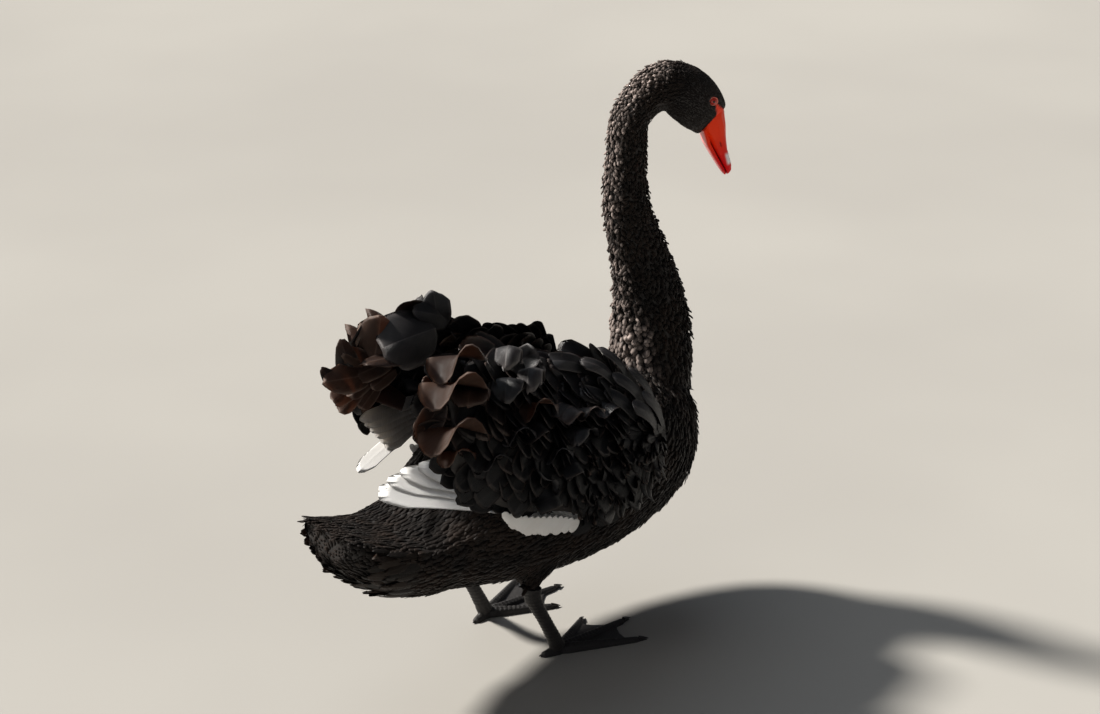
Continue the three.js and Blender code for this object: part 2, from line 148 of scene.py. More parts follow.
class Finish:
    """A material and the means to add nodes to it."""

    def __init__(self, name, **sockets):
        self.material = bpy.data.materials.new(name)
        self.material.use_nodes = True
        self.tree = self.material.node_tree
        self.shader = self.tree.nodes["Principled BSDF"]
        for socket, value in sockets.items():
            self.shader.inputs[socket.replace("_", " ").title().replace("Ior", "IOR")].default_value = value

    def node(self, kind, settings=None, inputs=None, output=0):
        node = self.tree.nodes.new(kind)
        for setting, value in (settings or {}).items():
            setattr(node, setting, value)
        for socket, value in (inputs or {}).items():
            if isinstance(value, Value):
                self.tree.links.new(value.socket, node.inputs[socket])
            else:
                node.inputs[socket].default_value = value
        return Value(self, node.outputs[output])

    def place(self):
        """Object coordinates."""
        return self.node("ShaderNodeTexCoord", output="Object")

    def attribute(self, name):
        return self.node("ShaderNodeAttribute", {"attribute_name": name}, output="Fac")

    def parts(self, vector):
        split = self.node("ShaderNodeSeparateXYZ", None, {0: vector})
        return [Value(self, split.socket.node.outputs[axis]) for axis in range(3)]

    def noise(self, scale, detail=2.0, at=None, roughness=0.5):
        inputs = {"Vector": at or self.place(), "Scale": scale, "Detail": detail, "Roughness": roughness}
        return self.node("ShaderNodeTexNoise", None, inputs)

    def mixed(self, share, first, second):
        """A colour between two others."""
        sockets = {0: share, 6: first, 7: second}
        return self.node("ShaderNodeMix", {"data_type": "RGBA"}, sockets, output=2)

    def bump(self, height, strength, distance):
        inputs = {"Height": height, "Strength": strength, "Distance": distance}
        return self.node("ShaderNodeBump", None, inputs)

    def glows_through(self, share, colour):
        """Thin vanes: a share of the surface shows the light that falls on its other side."""
        thin = self.node("ShaderNodeBsdfTranslucent", None, {"Color": colour})
        solid = Value(self, self.shader.outputs[0])
        whole = self.node("ShaderNodeMixShader", None, {0: share, 1: solid, 2: thin})
        self.tree.links.new(whole.socket, self.tree.nodes["Material Output"].inputs["Surface"])

    def feeds(self, **sockets):
        for socket, value in sockets.items():
            self.tree.links.new(value.socket, self.shader.inputs[socket.replace("_", " ").title()])
        return self.material


def floor_finish():
    finish = Finish("floor", roughness=1.0, specular_ior_level=0.0)
    stain = finish.noise(0.9, 3.0).between(0.3, 0.75)
    return finish.feeds(base_color=finish.mixed(stain, (0.37, 0.355, 0.33, 1), (0.41, 0.395, 0.365, 1)))


bpy.ops.object.select_all(action="DESELECT")
bpy.ops.mesh.primitive_plane_add(size=300, location=(0, 0, 0))
floor = bpy.context.object
floor.name = "floor"
floor.data.materials.append(floor_finish())


# Skin: the swan's flesh under its feathers, one closed surface from the face over the neck
# and the body to the tail and the thighs. It follows the frame's own body, let in by the
# depth of the coat, and shows bare and red only between the eye and the bill.
FLESH = (
    "head", "neck_upper", "neck_middle", "neck_lower", "trunk", "tail", "thigh_right", "thigh_left",
)
SKIN_CELL, SKIN_SMOOTHED = 0.0026, 7
MERGED, GROWN = 0.00001, 0.0004
MIDLINE = 0.005
EYE_MIDDLE = Vector((0.27, -0.0392, 0.6442))
HEAD_TURN = math.radians(-25)
HEAD_AHEAD = Vector((math.cos(HEAD_TURN), math.sin(HEAD_TURN), 0))
HEAD_LEFT = Vector((-math.sin(HEAD_TURN), math.cos(HEAD_TURN), 0))
# The strip of bare skin, seen from the side: its ends ahead and up of the eyes' middle, its
# half width at the eye, how much wider it is at the bill, and its soft margin, in millimetres.
BARE_FROM, BARE_TO = np.array((2.5, -4.0)), np.array((13.0, -22.5))
BARE_HALF, BARE_WIDER, BARE_MARGIN = 1.6, 8.5, 0.9


def in_head(ahead, left, up):
    """A place given from the middle between the eyes, in millimetres."""
    return EYE_MIDDLE + (HEAD_AHEAD * ahead + HEAD_LEFT * left + Vector((0, 0, up))) * 0.001


def only(*pieces):
    """Leaves just these pieces selected, in object mode, the first one active."""
    if bpy.context.object and bpy.context.object.mode != "OBJECT":
        bpy.ops.object.mode_set(mode="OBJECT")
    bpy.ops.object.select_all(action="DESELECT")
    for piece in pieces:
        piece.select_set(True)
    bpy.context.view_layer.objects.active = pieces[0]


def edited(piece, *steps):
    """Runs steps on all of a piece in edit mode, each one a Blender operator and its settings."""
    only(piece)
    bpy.ops.object.mode_set(mode="EDIT")
    bpy.ops.mesh.select_all(action="SELECT")
    for operator, settings in steps:
        operator(**settings)
    bpy.ops.object.mode_set(mode="OBJECT")


def copy_of(node, name):
    piece = bpy.data.objects.new(name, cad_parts[node].data.copy())
    piece.data.materials.clear()
    bpy.context.collection.objects.link(piece)
    return piece


def corners_of(mesh):
    """Every corner's place, as rows of an array."""
    places = np.zeros(len(mesh.vertices) * 3)
    mesh.vertices.foreach_get("co", places)
    return places.reshape(-1, 3)


def normals_of(mesh):
    normals = np.zeros(len(mesh.vertices) * 3)
    mesh.vertices.foreach_get("normal", normals)
    return normals.reshape(-1, 3)


def move_corners(mesh, places):
    mesh.vertices.foreach_set("co", places.ravel())
    mesh.update()


def smooth_step(value, low, high):
    share = np.clip((value - low) / (high - low), 0, 1)
    return share * share * (3 - 2 * share)


def head_places(places):
    """Places as ahead, left and up of the middle between the eyes, in millimetres."""
    from_eyes = (places - np.array(EYE_MIDDLE)) * 1000
    return from_eyes @ np.array([HEAD_AHEAD, HEAD_LEFT, (0, 0, 1)]).T


def head_step(ahead, left, up):
    """A step in the head's own directions, given in millimetres."""
    return np.array(in_head(ahead, left, up) - EYE_MIDDLE)


def close_to(places, middle, reach):
    """1 in the middle of a spot on the head, fading to 0 round it."""
    away = np.linalg.norm(head_places(places) - middle, axis=1)
    return np.exp(-(away / reach) ** 2)[:, None]


def share_of_run(ahead, up, start, end):
    """How far places are on the way from start to end, seen from the side."""
    run = end - start
    return ((ahead - start[0]) * run[0] + (up - start[1]) * run[1]) / (run @ run)


def bare_face(places):
    """1 on the bare red skin from the bill up to the eye, 0 on the rest."""
    ahead, _, up = head_places(places).T
    share = np.clip(share_of_run(ahead, up, BARE_FROM, BARE_TO), 0, 1)
    nearest = BARE_FROM + share[:, None] * (BARE_TO - BARE_FROM)
    away = np.hypot(ahead - nearest[:, 0], up - nearest[:, 1])
    reach = BARE_HALF + BARE_WIDER * share ** 1.4
    return 1 - smooth_step(away, reach - BARE_MARGIN, reach + BARE_MARGIN)


def smooth_body(nodes, name, cell, rounds):
    """Some of the frame's nodes grown together into one closed, smooth surface."""
    parts = [copy_of(node, name) for node in nodes]
    only(*parts)
    if len(parts) > 1:
        bpy.ops.object.join()
    piece = bpy.context.object
    piece.name = name
    edited(
        piece,
        (bpy.ops.mesh.remove_doubles, {"threshold": MERGED}),
        (bpy.ops.mesh.normals_make_consistent, {"inside": False}),
        (bpy.ops.transform.shrink_fatten, {"value": GROWN}),
    )
    piece.data.remesh_voxel_size = cell
    bpy.ops.object.voxel_remesh()
    edited(piece, (bpy.ops.mesh.vertices_smooth, {"factor": 0.5, "repeat": rounds}))
    bpy.ops.object.shade_smooth()
    return piece


def mapped(piece, margin=0.001):
    """Unwraps a piece by its own shape, as the map its colours are baked on."""
    edited(piece, (bpy.ops.uv.smart_project, {"angle_limit": math.radians(60), "island_margin": margin}))
    piece.data.uv_layers[0].name = "OFBake"


def marked(piece, name, values):
    """Gives every corner of a piece its own value, for the finish to read."""
    attribute = piece.data.attributes.new(name, "FLOAT", "POINT")
    attribute.data.foreach_set("value", np.ascontiguousarray(values, np.float32))


skin = smooth_body(FLESH, "skin", SKIN_CELL, SKIN_SMOOTHED)

# The middle line that the coat follows, from the bill over the neck to the end of the tail.
SPINE = np.array([
    (0.2725, -0.0404, 0.617), (0.2613, -0.0352, 0.6319), (0.2511, -0.0305, 0.6442),
    (0.239, -0.0248, 0.6555), (0.225, -0.0183, 0.6619), (0.209, -0.0108, 0.6597),
    (0.1925, -0.0031, 0.6453), (0.1799, 0.0027, 0.625), (0.1766, 0.0039, 0.5861),
    (0.1755, 0.005, 0.5433), (0.1824, 0.005, 0.5005), (0.1974, 0.005, 0.4577),
    (0.2124, 0.005, 0.4117), (0.2209, 0.005, 0.3636), (0.2231, 0.005, 0.3155),
    (0.2150, 0.005, 0.270), (0.190, 0.005, 0.238), (0.145, 0.005, 0.224),
    (0.090, 0.005, 0.219), (0.035, 0.005, 0.216), (-0.020, 0.005, 0.212),
    (-0.075, 0.005, 0.206), (-0.130, 0.005, 0.198), (-0.185, 0.005, 0.194),
    (-0.240, 0.005, 0.200), (-0.300, 0.005, 0.222),
])
# Steps from one station to the next, and steps to each side that the run is evened over.
SPINE_STEPS, SPINE_SMOOTHED = 8, 6
steps_between = np.arange(0, len(SPINE) - 1 + 1e-9, 1 / SPINE_STEPS)
spine_line = np.stack([np.interp(steps_between, np.arange(len(SPINE)), row) for row in SPINE.T], 1)
evenly = np.ones(2 * SPINE_SMOOTHED + 1) / (2 * SPINE_SMOOTHED + 1)
spine_run = np.stack([
    np.convolve(np.pad(row, SPINE_SMOOTHED, "edge"), evenly, "valid")
    for row in np.gradient(spine_line, axis=0).T
], 1)
spine_run /= np.linalg.norm(spine_run, axis=1)[:, None]
spine_reach = np.r_[0, np.cumsum(np.linalg.norm(np.diff(spine_line, axis=0), axis=1))]
# How softly one stretch of the line gives way to the next, near it and farther off.
SPINE_BLEND, SPINE_BLEND_FAR = 0.012, 0.12
AT_A_TIME = 4000


def along_spine(places):
    """How far from the bill each place lies along the middle line, in metres, and the run there."""
    reach = np.zeros(len(places))
    run = np.zeros((len(places), 3))
    for start in range(0, len(places), AT_A_TIME):
        part = slice(start, start + AT_A_TIME)
        away = ((places[part, None, :] - spine_line[None]) ** 2).sum(2)
        least = away.min(1, keepdims=True)
        weight = np.exp(-(away - least) / (2 * (SPINE_BLEND ** 2 + SPINE_BLEND_FAR * least)))
        weight /= weight.sum(1, keepdims=True)
        reach[part] = weight @ spine_reach
        run[part] = weight @ spine_run
    return reach, run


# Where one coat gives way to the next, in metres from the bill along the middle line, and how
# deep the coat is there.
COAT_AT = (0.0, 0.03, 0.07, 0.11, 0.20, 0.40, 0.47, 0.58, 0.75, 0.92, 1.0)
COAT_DEPTH = (0.0008, 0.001, 0.0018, 0.0028, 0.0035, 0.0045, 0.0045, 0.0045, 0.0045, 0.0045, 0.004)
skin_places = corners_of(skin.data)
skin_reach, _ = along_spine(skin_places)
depth = np.interp(skin_reach, COAT_AT, COAT_DEPTH)
move_corners(skin.data, skin_places - normals_of(skin.data) * depth[:, None])

# The eye's hollow and the fold of skin round it, on both sides of the head. Radii and places
# are in millimetres, the fold's height and the hollow's depth in metres. Only the head's
# sides move: what lies inside the box and far enough from the middle.
EYE_AHEAD, EYE_UP = -2.1, 1.1
FOLD_RADIUS, FOLD_WIDE, FOLD_HIGH = 7.2, 1.6, 0.0007
HOLLOW_FLOOR, HOLLOW_RIM, HOLLOW_DEEP = 3.5, 6.2, 0.003
HEAD_BOX, SIDE_FROM = (30, 32, 30), 10
skin_places = corners_of(skin.data)
ahead, left, up = head_places(skin_places).T
outward = np.outer(np.sign(left), np.array(HEAD_LEFT))
from_eye = np.hypot(ahead - EYE_AHEAD, up - EYE_UP)
on_side = (np.abs(head_places(skin_places)) < HEAD_BOX).all(1) & (np.abs(left) > SIDE_FROM)
fold = np.exp(-((from_eye - FOLD_RADIUS) / FOLD_WIDE) ** 2) * FOLD_HIGH
hollow = (1 - smooth_step(from_eye, HOLLOW_FLOOR, HOLLOW_RIM)) * -HOLLOW_DEEP
move_corners(skin.data, skin_places + outward * ((fold + hollow) * on_side)[:, None])

# The chin runs forward under the foot of the bill's lower half, and the brow runs straight on
# into the top of the bill.
CHIN, CHIN_REACH = np.array((-9.0, 0.0, -42.0)), 9.0
BROW, BROW_REACH = np.array((17.5, 0.0, -24.5)), 6.0
skin_places = corners_of(skin.data)
skin_places = skin_places + close_to(skin_places, CHIN, CHIN_REACH) * head_step(3.6, 0, -8.0)
skin_places = skin_places + close_to(skin_places, BROW, BROW_REACH) * head_step(1.8, 0, 0.5)
move_corners(skin.data, skin_places)

# Seen from above the tail's end is rounded at its corners.
TAIL_END = -0.2985
TAIL_HALF, TAIL_ROUNDED, TAIL_ROUNDED_FROM = 0.063, 0.014, -0.255


def tail_end(places):
    """How far back the tail reaches where the places lie across it."""
    return TAIL_END + TAIL_ROUNDED * np.minimum(np.abs(places[:, 1] - MIDLINE) / TAIL_HALF, 1) ** 3


skin_places = corners_of(skin.data)
at_end = smooth_step(-skin_places[:, 0], -TAIL_ROUNDED_FROM, -TAIL_END)
skin_places[:, 0] += (tail_end(skin_places) - TAIL_END) * at_end
move_corners(skin.data, skin_places)

marked(skin, "bare", bare_face(corners_of(skin.data)))
mapped(skin)

BILL_RED = (0.98, 0.045, 0.006, 1)


def skin_finish():
    finish = Finish("skin", roughness=0.75)
    tone = finish.noise(90, 3.0).between(0.3, 0.7)
    dark = finish.mixed(tone, (0.010, 0.008, 0.007, 1), (0.022, 0.018, 0.016, 1))
    grain = finish.noise(900, 2.0)
    return finish.feeds(
        base_color=finish.mixed(finish.attribute("bare"), dark, BILL_RED),
        normal=finish.bump(grain, 0.4, 0.0004),
    )


skin.data.materials.append(skin_finish())
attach(skin, "root")
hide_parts(*FLESH)


# Coat: small soft contour feathers, each a narrow vane rooted in the skin, lying back along
# the body. They are shortest on the face, curl up in tufts on the neck, and grow long and
# smooth on the body; the thighs wear short ones that point down.
rng = np.random.default_rng(7)
ROOTS_DRAWN = 230000
RIGHT, LEFT = -1, 1
# Per stretch of the middle line: length, half width, spacing, lift and curl away from the
# skin in radians, how much each one strays and how domed it is.
COAT_LENGTH = (0.0020, 0.0026, 0.0038, 0.0066, 0.0085, 0.0112, 0.0140, 0.016, 0.017, 0.016, 0.015)
COAT_HALF = (0.0007, 0.0008, 0.0010, 0.0017, 0.0021, 0.0028, 0.0031, 0.0032, 0.0032, 0.0033, 0.0033)
COAT_SPACING = (0.0011, 0.0012, 0.0015, 0.0023, 0.0029, 0.0041, 0.0044, 0.0044, 0.0044, 0.0044, 0.0042)
COAT_LIFT = (0.06, 0.08, 0.25, 0.75, 0.85, 0.85, 0.35, 0.12, 0.09, 0.09, 0.10)
COAT_CURL = (0.0, 0.0, -0.3, -1.5, -1.6, -1.4, -0.4, -0.05, 0.0, 0.0, 0.0)
COAT_STRAY = (0.10, 0.12, 0.35, 0.8, 0.9, 0.9, 0.55, 0.35, 0.3, 0.3, 0.3)
COAT_HIGH = (0.3, 0.3, 0.4, 0.6, 0.6, 0.6, 0.35, 0.2, 0.16, 0.16, 0.16)
# The thighs: where they are, and the length, half width and spacing of their feathers.
THIGH_X, LEG_OUT = -0.022, 0.0663
THIGH_TOP, THIGH_RADIUS = 0.150, 0.062
THIGH_LENGTH, THIGH_HALF, THIGH_SPACING = 0.014, 0.0028, 0.0042


def unit(rows):
    return rows / np.maximum(np.linalg.norm(rows, axis=-1, keepdims=True), 1e-9)


def drawn_roots(mesh, count):
    """Places spread evenly over a mesh, with their normals and their places on its map."""
    mesh.calc_loop_triangles()
    triangles = np.zeros(len(mesh.loop_triangles) * 3, int)
    mesh.loop_triangles.foreach_get("vertices", triangles)
    triangles = triangles.reshape(-1, 3)
    loops = np.zeros(len(mesh.loop_triangles) * 3, int)
    mesh.loop_triangles.foreach_get("loops", loops)
    loops = loops.reshape(-1, 3)
    map_places = np.zeros(len(mesh.loops) * 2)
    mesh.uv_layers["OFBake"].data.foreach_get("uv", map_places)
    map_places = map_places.reshape(-1, 2)
    corners = corners_of(mesh)[triangles]
    area = np.linalg.norm(np.cross(corners[:, 1] - corners[:, 0], corners[:, 2] - corners[:, 0]), axis=1)
    chosen = rng.choice(len(area), count, p=area / area.sum())
    first, second = rng.random((2, count, 1))
    flip = first + second > 1
    first, second = np.where(flip, 1 - first, first), np.where(flip, 1 - second, second)
    shares = np.concatenate([1 - first - second, first, second], 1)[:, :, None]
    places = (corners[chosen] * shares).sum(1)
    normals = unit((normals_of(mesh)[triangles[chosen]] * shares).sum(1))
    maps = (map_places[loops[chosen]] * shares).sum(1)
    return places, normals, maps


def thinned(places, spacing):
    """Which of the places stay when none may be nearer to another than its spacing."""
    tree = KDTree(len(places))
    for index, place in enumerate(places):
        tree.insert(place, index)
    tree.balance()
    free = np.ones(len(places), bool)
    kept = []
    for index in range(len(places)):
        if free[index]:
            kept.append(index)
            for _, other, _ in tree.find_range(places[index], spacing[index]):
                free[other] = False
    return np.array(kept)


places, normals, maps = drawn_roots(skin.data, ROOTS_DRAWN)
reach, run = along_spine(places)
on_thigh = np.zeros(len(places), bool)
for side in (RIGHT, LEFT):
    leg_middle = np.array((THIGH_X, MIDLINE + LEG_OUT * side))
    near = np.hypot(*(places[:, :2] - leg_middle).T) < THIGH_RADIUS
    on_thigh |= near & (places[:, 2] < THIGH_TOP)
run[on_thigh] = run[on_thigh] * 0.5 + np.array((-0.25, 0, -1.0))
spacing = np.interp(reach, COAT_AT, COAT_SPACING)
spacing = np.where(on_thigh, THIGH_SPACING, spacing)
# None grow on the bare skin, in the eyes' hollows or under the bill's foot.
ahead, left, up = head_places(places).T
bare_here = (bare_face(places) > 0.35) & (reach < 0.06)
in_eye = (np.hypot(ahead - EYE_AHEAD, up - EYE_UP) < 6.3) & (np.abs(left) > 12) & (reach < 0.1)
in_bill = (reach < 0.012) & (ahead > 4) & (np.abs(left) < 15) & (up < -24)
wanted = np.flatnonzero(~(bare_here | in_eye | in_bill))
wanted = wanted[thinned(places[wanted], spacing[wanted])]
places, normals, maps, reach, run, on_thigh = (
    values[wanted] for values in (places, normals, maps, reach, run, on_thigh)
)
count = len(places)


def stretch(value, rise_from, rise_to, fall_from, fall_to):
    """1 over a stretch of the value and 0 outside it, with a smooth rise and fall."""
    return smooth_step(value, rise_from, rise_to) * (1 - smooth_step(value, fall_from, fall_to))


# The nape curls from the crown down, and the throat stays smooth for longer.
nape = smooth_step(normals @ np.array((-0.74, -0.08, 0.66)), -0.10, 0.60)
curled = reach + (0.055 * nape - 0.035 * (1 - nape)) * stretch(reach, 0.045, 0.075, 0.20, 0.38)
length = np.interp(curled, COAT_AT, COAT_LENGTH)
length = np.where(on_thigh, THIGH_LENGTH, length) * rng.uniform(0.85, 1.15, count)
# The tail's last feathers stop at its end, which is notched between them.
NOTCH_DEEP, NOTCH_PACE, NOTCH_RISE = 0.012, 105, 0.7
SHORTEST_AT_END = 0.004
notch = NOTCH_DEEP * np.abs(np.sin((places[:, 1] + places[:, 2] * NOTCH_RISE) * NOTCH_PACE))
left_over = places[:, 0] - tail_end(places) + 0.008 - notch
length = np.minimum(length, np.maximum(left_over, SHORTEST_AT_END))
half = np.interp(curled, COAT_AT, COAT_HALF) * rng.uniform(0.85, 1.15, count)
half = np.where(on_thigh, THIGH_HALF, half)
# Round knobs at the back of the neck's foot.
rearward = normals @ np.array((-0.78, 0.22, 0.58))
knob = smooth_step(rearward, 0.25, 0.65) * (1 - smooth_step(np.abs(reach - 0.425), 0.02, 0.05))
half = half * (1 + 0.45 * knob)
lift = np.interp(curled, COAT_AT, COAT_LIFT)
curl = np.interp(curled, COAT_AT, COAT_CURL) * rng.uniform(0.3, 1.5, count)
stray = np.interp(curled, COAT_AT, COAT_STRAY)
run = unit(run - normals * (run * normals).sum(1)[:, None])
beside = np.cross(normals, run)
turn = rng.normal(0, 0.55, count) * stray
run, beside = (
    run * np.cos(turn)[:, None] + beside * np.sin(turn)[:, None],
    beside * np.cos(turn)[:, None] - run * np.sin(turn)[:, None],
)
lift = lift * rng.uniform(0.6, 1.4, count)
high = np.interp(curled, COAT_AT, COAT_HIGH)
# The tips are painted pale along the back of the neck and on the knobs at its foot, where they face the key
# light, some much more than others: a painted highlight.
worn = smooth_step(rearward, 0.45, 0.78) * smooth_step(curled, 0.08, 0.13)
worn = worn * (1 - smooth_step(reach, 0.38, 0.44)) * rng.uniform(0.1, 1.3, count) ** 1.5
worn = np.clip(worn + knob * rng.uniform(0.3, 0.9, count), 0, 1)
TUFT_STATIONS = (0.0, 0.22, 0.52, 0.84, 1.0)
TUFT_WIDTH = (0.0, 0.75, 1.0, 0.8, 0.0)
TUFT_UNDER = 0.4
# Half the side of one tuft's patch on the skin's map.
PATCH = 0.0015


def joined(name, corners, quads, triangles, values):
    """One mesh from arrays, with its map, its vane coordinates and its own values."""
    mesh = bpy.data.meshes.new(name)
    mesh.vertices.add(len(corners))
    mesh.vertices.foreach_set("co", corners.ravel())
    loops = np.r_[quads.ravel(), triangles.ravel()]
    mesh.loops.add(len(loops))
    mesh.loops.foreach_set("vertex_index", loops)
    starts = np.r_[np.arange(len(quads)) * 4, len(quads) * 4 + np.arange(len(triangles)) * 3]
    mesh.polygons.add(len(starts))
    mesh.polygons.foreach_set("loop_start", starts)
    mesh.polygons.foreach_set("use_smooth", np.ones(len(starts), bool))
    mesh.update(calc_edges=True)
    for key in ("OFBake", "vane"):
        if key in values:
            layer = mesh.uv_layers.new(name=key)
            layer.data.foreach_set("uv", values[key][loops].ravel())
    for key, rows in values.items():
        if rows.ndim == 1:
            attribute = mesh.attributes.new(key, "FLOAT", "POINT")
            attribute.data.foreach_set("value", rows)
    piece = bpy.data.objects.new(name, mesh)
    bpy.context.collection.objects.link(piece)
    return piece


def tufts(name, chosen):
    """The tufts of one stretch of the coat as one mesh: each a spindle with a flat section."""
    stations = np.array(TUFT_STATIONS)
    total = len(chosen)
    middle = places[chosen].copy()
    tuft_run, tuft_up, tuft_side = run[chosen], normals[chosen], beside[chosen]
    rings, tint = [], rng.random(total)
    for number, share in enumerate(stations):
        bend = (lift[chosen] + curl[chosen] * share ** 1.5)[:, None]
        forward = tuft_run * np.cos(bend) + tuft_up * np.sin(bend)
        face = tuft_up * np.cos(bend) - tuft_run * np.sin(bend)
        if number:
            middle = middle + forward * (length[chosen] * (share - stations[number - 1]))[:, None]
        wide = (half[chosen] * TUFT_WIDTH[number])[:, None]
        if number in (0, len(stations) - 1):
            rings.append(middle[:, None])
        else:
            sideways, raised = tuft_side * wide, face * wide * high[chosen][:, None]
            rings.append(np.stack([
                middle - sideways, middle + raised, middle + sideways, middle - raised * TUFT_UNDER,
            ], 1))
    corners = np.concatenate(rings, 1)
    each = corners.shape[1]
    start = np.arange(total)[:, None] * each
    quads, triangles = [], []
    for corner in range(4):
        beyond = (corner + 1) % 4
        triangles += [(0, 1 + corner, 1 + beyond), (each - 1, each - 5 + beyond, each - 5 + corner)]
        for ring in range(len(stations) - 3):
            low = 1 + ring * 4
            quads.append((low + corner, low + 4 + corner, low + 4 + beyond, low + beyond))
    quads = (start[:, :, None] + np.array(quads)[None]).reshape(-1, 4)
    triangles = (start[:, :, None] + np.array(triangles)[None]).reshape(-1, 3)
    across = np.r_[0, np.tile((-1, 0, 1, 0), len(stations) - 2), 0]
    tip = np.r_[0, np.repeat(stations[1:-1], 4), 1]
    local = np.stack([across, tip * 2 - 1], 1) * PATCH
    values = {
        "OFBake": (maps[chosen][:, None] + local[None]).reshape(-1, 2),
        "tint": np.repeat(tint, each),
        "tip": np.tile(tip, total),
        "worn": np.repeat(worn[chosen], each),
    }
    return joined(name, corners.reshape(-1, 3), quads, triangles, values)


def coat_finish():
    finish = Finish("coat", roughness=0.5, specular_ior_level=0.12, sheen_weight=0.03, sheen_roughness=0.4)
    place = finish.place()
    patches = finish.noise(26, 3.0, place).between(0.35, 0.7)
    dark = finish.mixed(patches, (0.0045, 0.0037, 0.0034, 1), (0.0095, 0.0066, 0.0052, 1))
    light = finish.mixed(patches, (0.013, 0.0098, 0.0085, 1), (0.030, 0.0195, 0.0145, 1))
    share = (finish.attribute("tip") ** 2.0) * 0.55 + finish.attribute("tint") * 0.35
    barbs = finish.noise(1400, 2.0, place)
    # Pale tips where the neck faces the key light: a painted highlight.
    pale = finish.attribute("worn") * finish.attribute("tip").between(0.15, 0.85) * 0.85
    return finish.feeds(
        base_color=finish.mixed(pale, finish.mixed(share, dark, light), (0.50, 0.41, 0.37, 1)),
        roughness=0.48 + finish.attribute("tint") * 0.2,
        normal=finish.bump(barbs, 0.35, 0.0003),
    )


coat = coat_finish()
COAT_PARTS = {
    "coat_head": (reach < 0.11) & ~on_thigh,
    "coat_neck": (reach >= 0.11) & (reach < 0.47) & ~on_thigh,
    "coat_breast": (reach >= 0.47) & (reach < 0.66) & ~on_thigh,
    "coat_back": (reach >= 0.66) & (places[:, 2] >= 0.2) & ~on_thigh,
    "coat_belly": (reach >= 0.66) & (places[:, 2] < 0.2) & ~on_thigh,
    "coat_thighs": on_thigh,
}
for name, mask in COAT_PARTS.items():
    piece = tufts(name, np.flatnonzero(mask))
    piece.data.materials.append(coat)
    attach(piece, "root")


# Wings: held up over the back, half folded. A thin fleshy arm with its web of skin is the
# core, and every feather is a stiff vane of barbs on a shaft, rooted in it: small coverts at
# the shoulder, and behind them wide ones whose soft ends curl out and fall over like shavings.

# Stations of the right wing from the shoulder back: X, distance from the midline and height
# of the upper edge, the same of the lower edge, the bulge between them and the thickness.
WING_STATIONS = np.array([
    (0.157, 0.090, 0.270, 0.150, 0.096, 0.242, 0.003, 0.009),
    (0.127, 0.079, 0.310, 0.118, 0.116, 0.214, 0.013, 0.017),
    (0.082, 0.068, 0.349, 0.065, 0.126, 0.199, 0.021, 0.021),
    (0.004, 0.062, 0.376, 0.004, 0.130, 0.201, 0.028, 0.021),
    (-0.060, 0.068, 0.406, -0.055, 0.132, 0.226, 0.030, 0.019),
    (-0.114, 0.075, 0.430, -0.114, 0.127, 0.244, 0.028, 0.016),
    (-0.164, 0.083, 0.430, -0.168, 0.117, 0.276, 0.019, 0.012),
    (-0.200, 0.092, 0.406, -0.209, 0.105, 0.329, 0.009, 0.006),
])
SHOULDER_X = 0.116
WING_REACH = 0.353
# At its rear end the left wing is this much nearer the midline, farther ahead and higher.
LEFT_CLOSER, LEFT_AHEAD, LEFT_HIGHER = 0.028, 0.016, 0.005
# How thick the wing is at its edges and how far its bulge lifts it, as shares.
WING_EDGE, WING_CREST = 0.35, 0.25
MIRROR = {side: np.array((1, side, 1)) for side in (RIGHT, LEFT)}


def smoothed_rows(stations, along):
    """Rows of numbers read smoothly between evenly spaced stations."""
    place = np.clip(along, 0, 1) * (len(stations) - 1)
    index = np.minimum(place.astype(int), len(stations) - 2)
    share = (place - index)[..., None]
    padded = np.concatenate([stations[:1], stations, stations[-1:]])
    before, here, ahead, after = (padded[index + offset] for offset in range(4))
    slope, slope_ahead = (ahead - before) / 2, (after - here) / 2
    square, cube = share ** 2, share ** 3
    return (
        (2 * cube - 3 * square + 1) * here + (cube - 2 * square + share) * slope
        + (3 * square - 2 * cube) * ahead + (cube - square) * slope_ahead
    )


def wing_place(side, along, down, sink=0.0):
    """Places on a wing: along from the shoulder back, down from its upper edge, sink through it."""
    along, down = np.broadcast_arrays(np.asarray(along, float), np.asarray(down, float))
    rows = np.moveaxis(smoothed_rows(WING_STATIONS, along), -1, 0)
    top_x, top_out, top_z, low_x, low_out, low_z, bulge, thick = rows
    arch = np.sin(math.pi * np.clip(down, 0, 1))
    inward = sink * thick * (WING_EDGE + (1 - WING_EDGE) * arch)
    x = top_x + (low_x - top_x) * down
    out = top_out + (low_out - top_out) * down + bulge * arch - inward
    z = top_z + (low_z - top_z) * down + bulge * WING_CREST * arch * (1 - down)
    if side == LEFT:
        back = np.maximum(0, (SHOULDER_X - x) / WING_REACH)
        x = x + LEFT_AHEAD * back
        out = out - LEFT_CLOSER * back ** 2
        z = z + LEFT_HIGHER * back
    return np.stack([x, MIDLINE + out * side, z], -1)


def wing_lie(side, along, down, face):
    """At a place on the wing's outer (1) or inner (-1) face: the place, the way back along the
    wing, the way down across it and the way off it."""
    small, sink = 0.01, 0.0 if face > 0 else 1.0
    at = wing_place(side, along, down, sink)
    back = unit(wing_place(side, np.minimum(along + small, 1), down, sink)
                - wing_place(side, np.minimum(along + small, 1) - 2 * small, down, sink))
    low = unit(wing_place(side, along, np.minimum(down + small, 1), sink)
               - wing_place(side, along, np.minimum(down + small, 1) - 2 * small, sink))
    off = unit(np.cross(back, low)) * -side * face
    low = unit(low - back * (low * back).sum(-1, keepdims=True))
    return at, back, low, off


CORE_THICK = 0.005
CORE_SINK = 0.2
# How much less far down the left wing's core reaches behind, where its feathers are shorter.
LEFT_CORE_CUT = 0.20


def faced_out(piece):
    """Turns every face of a closed piece outwards."""
    edited(piece, (bpy.ops.mesh.normals_make_consistent, {"inside": False}))


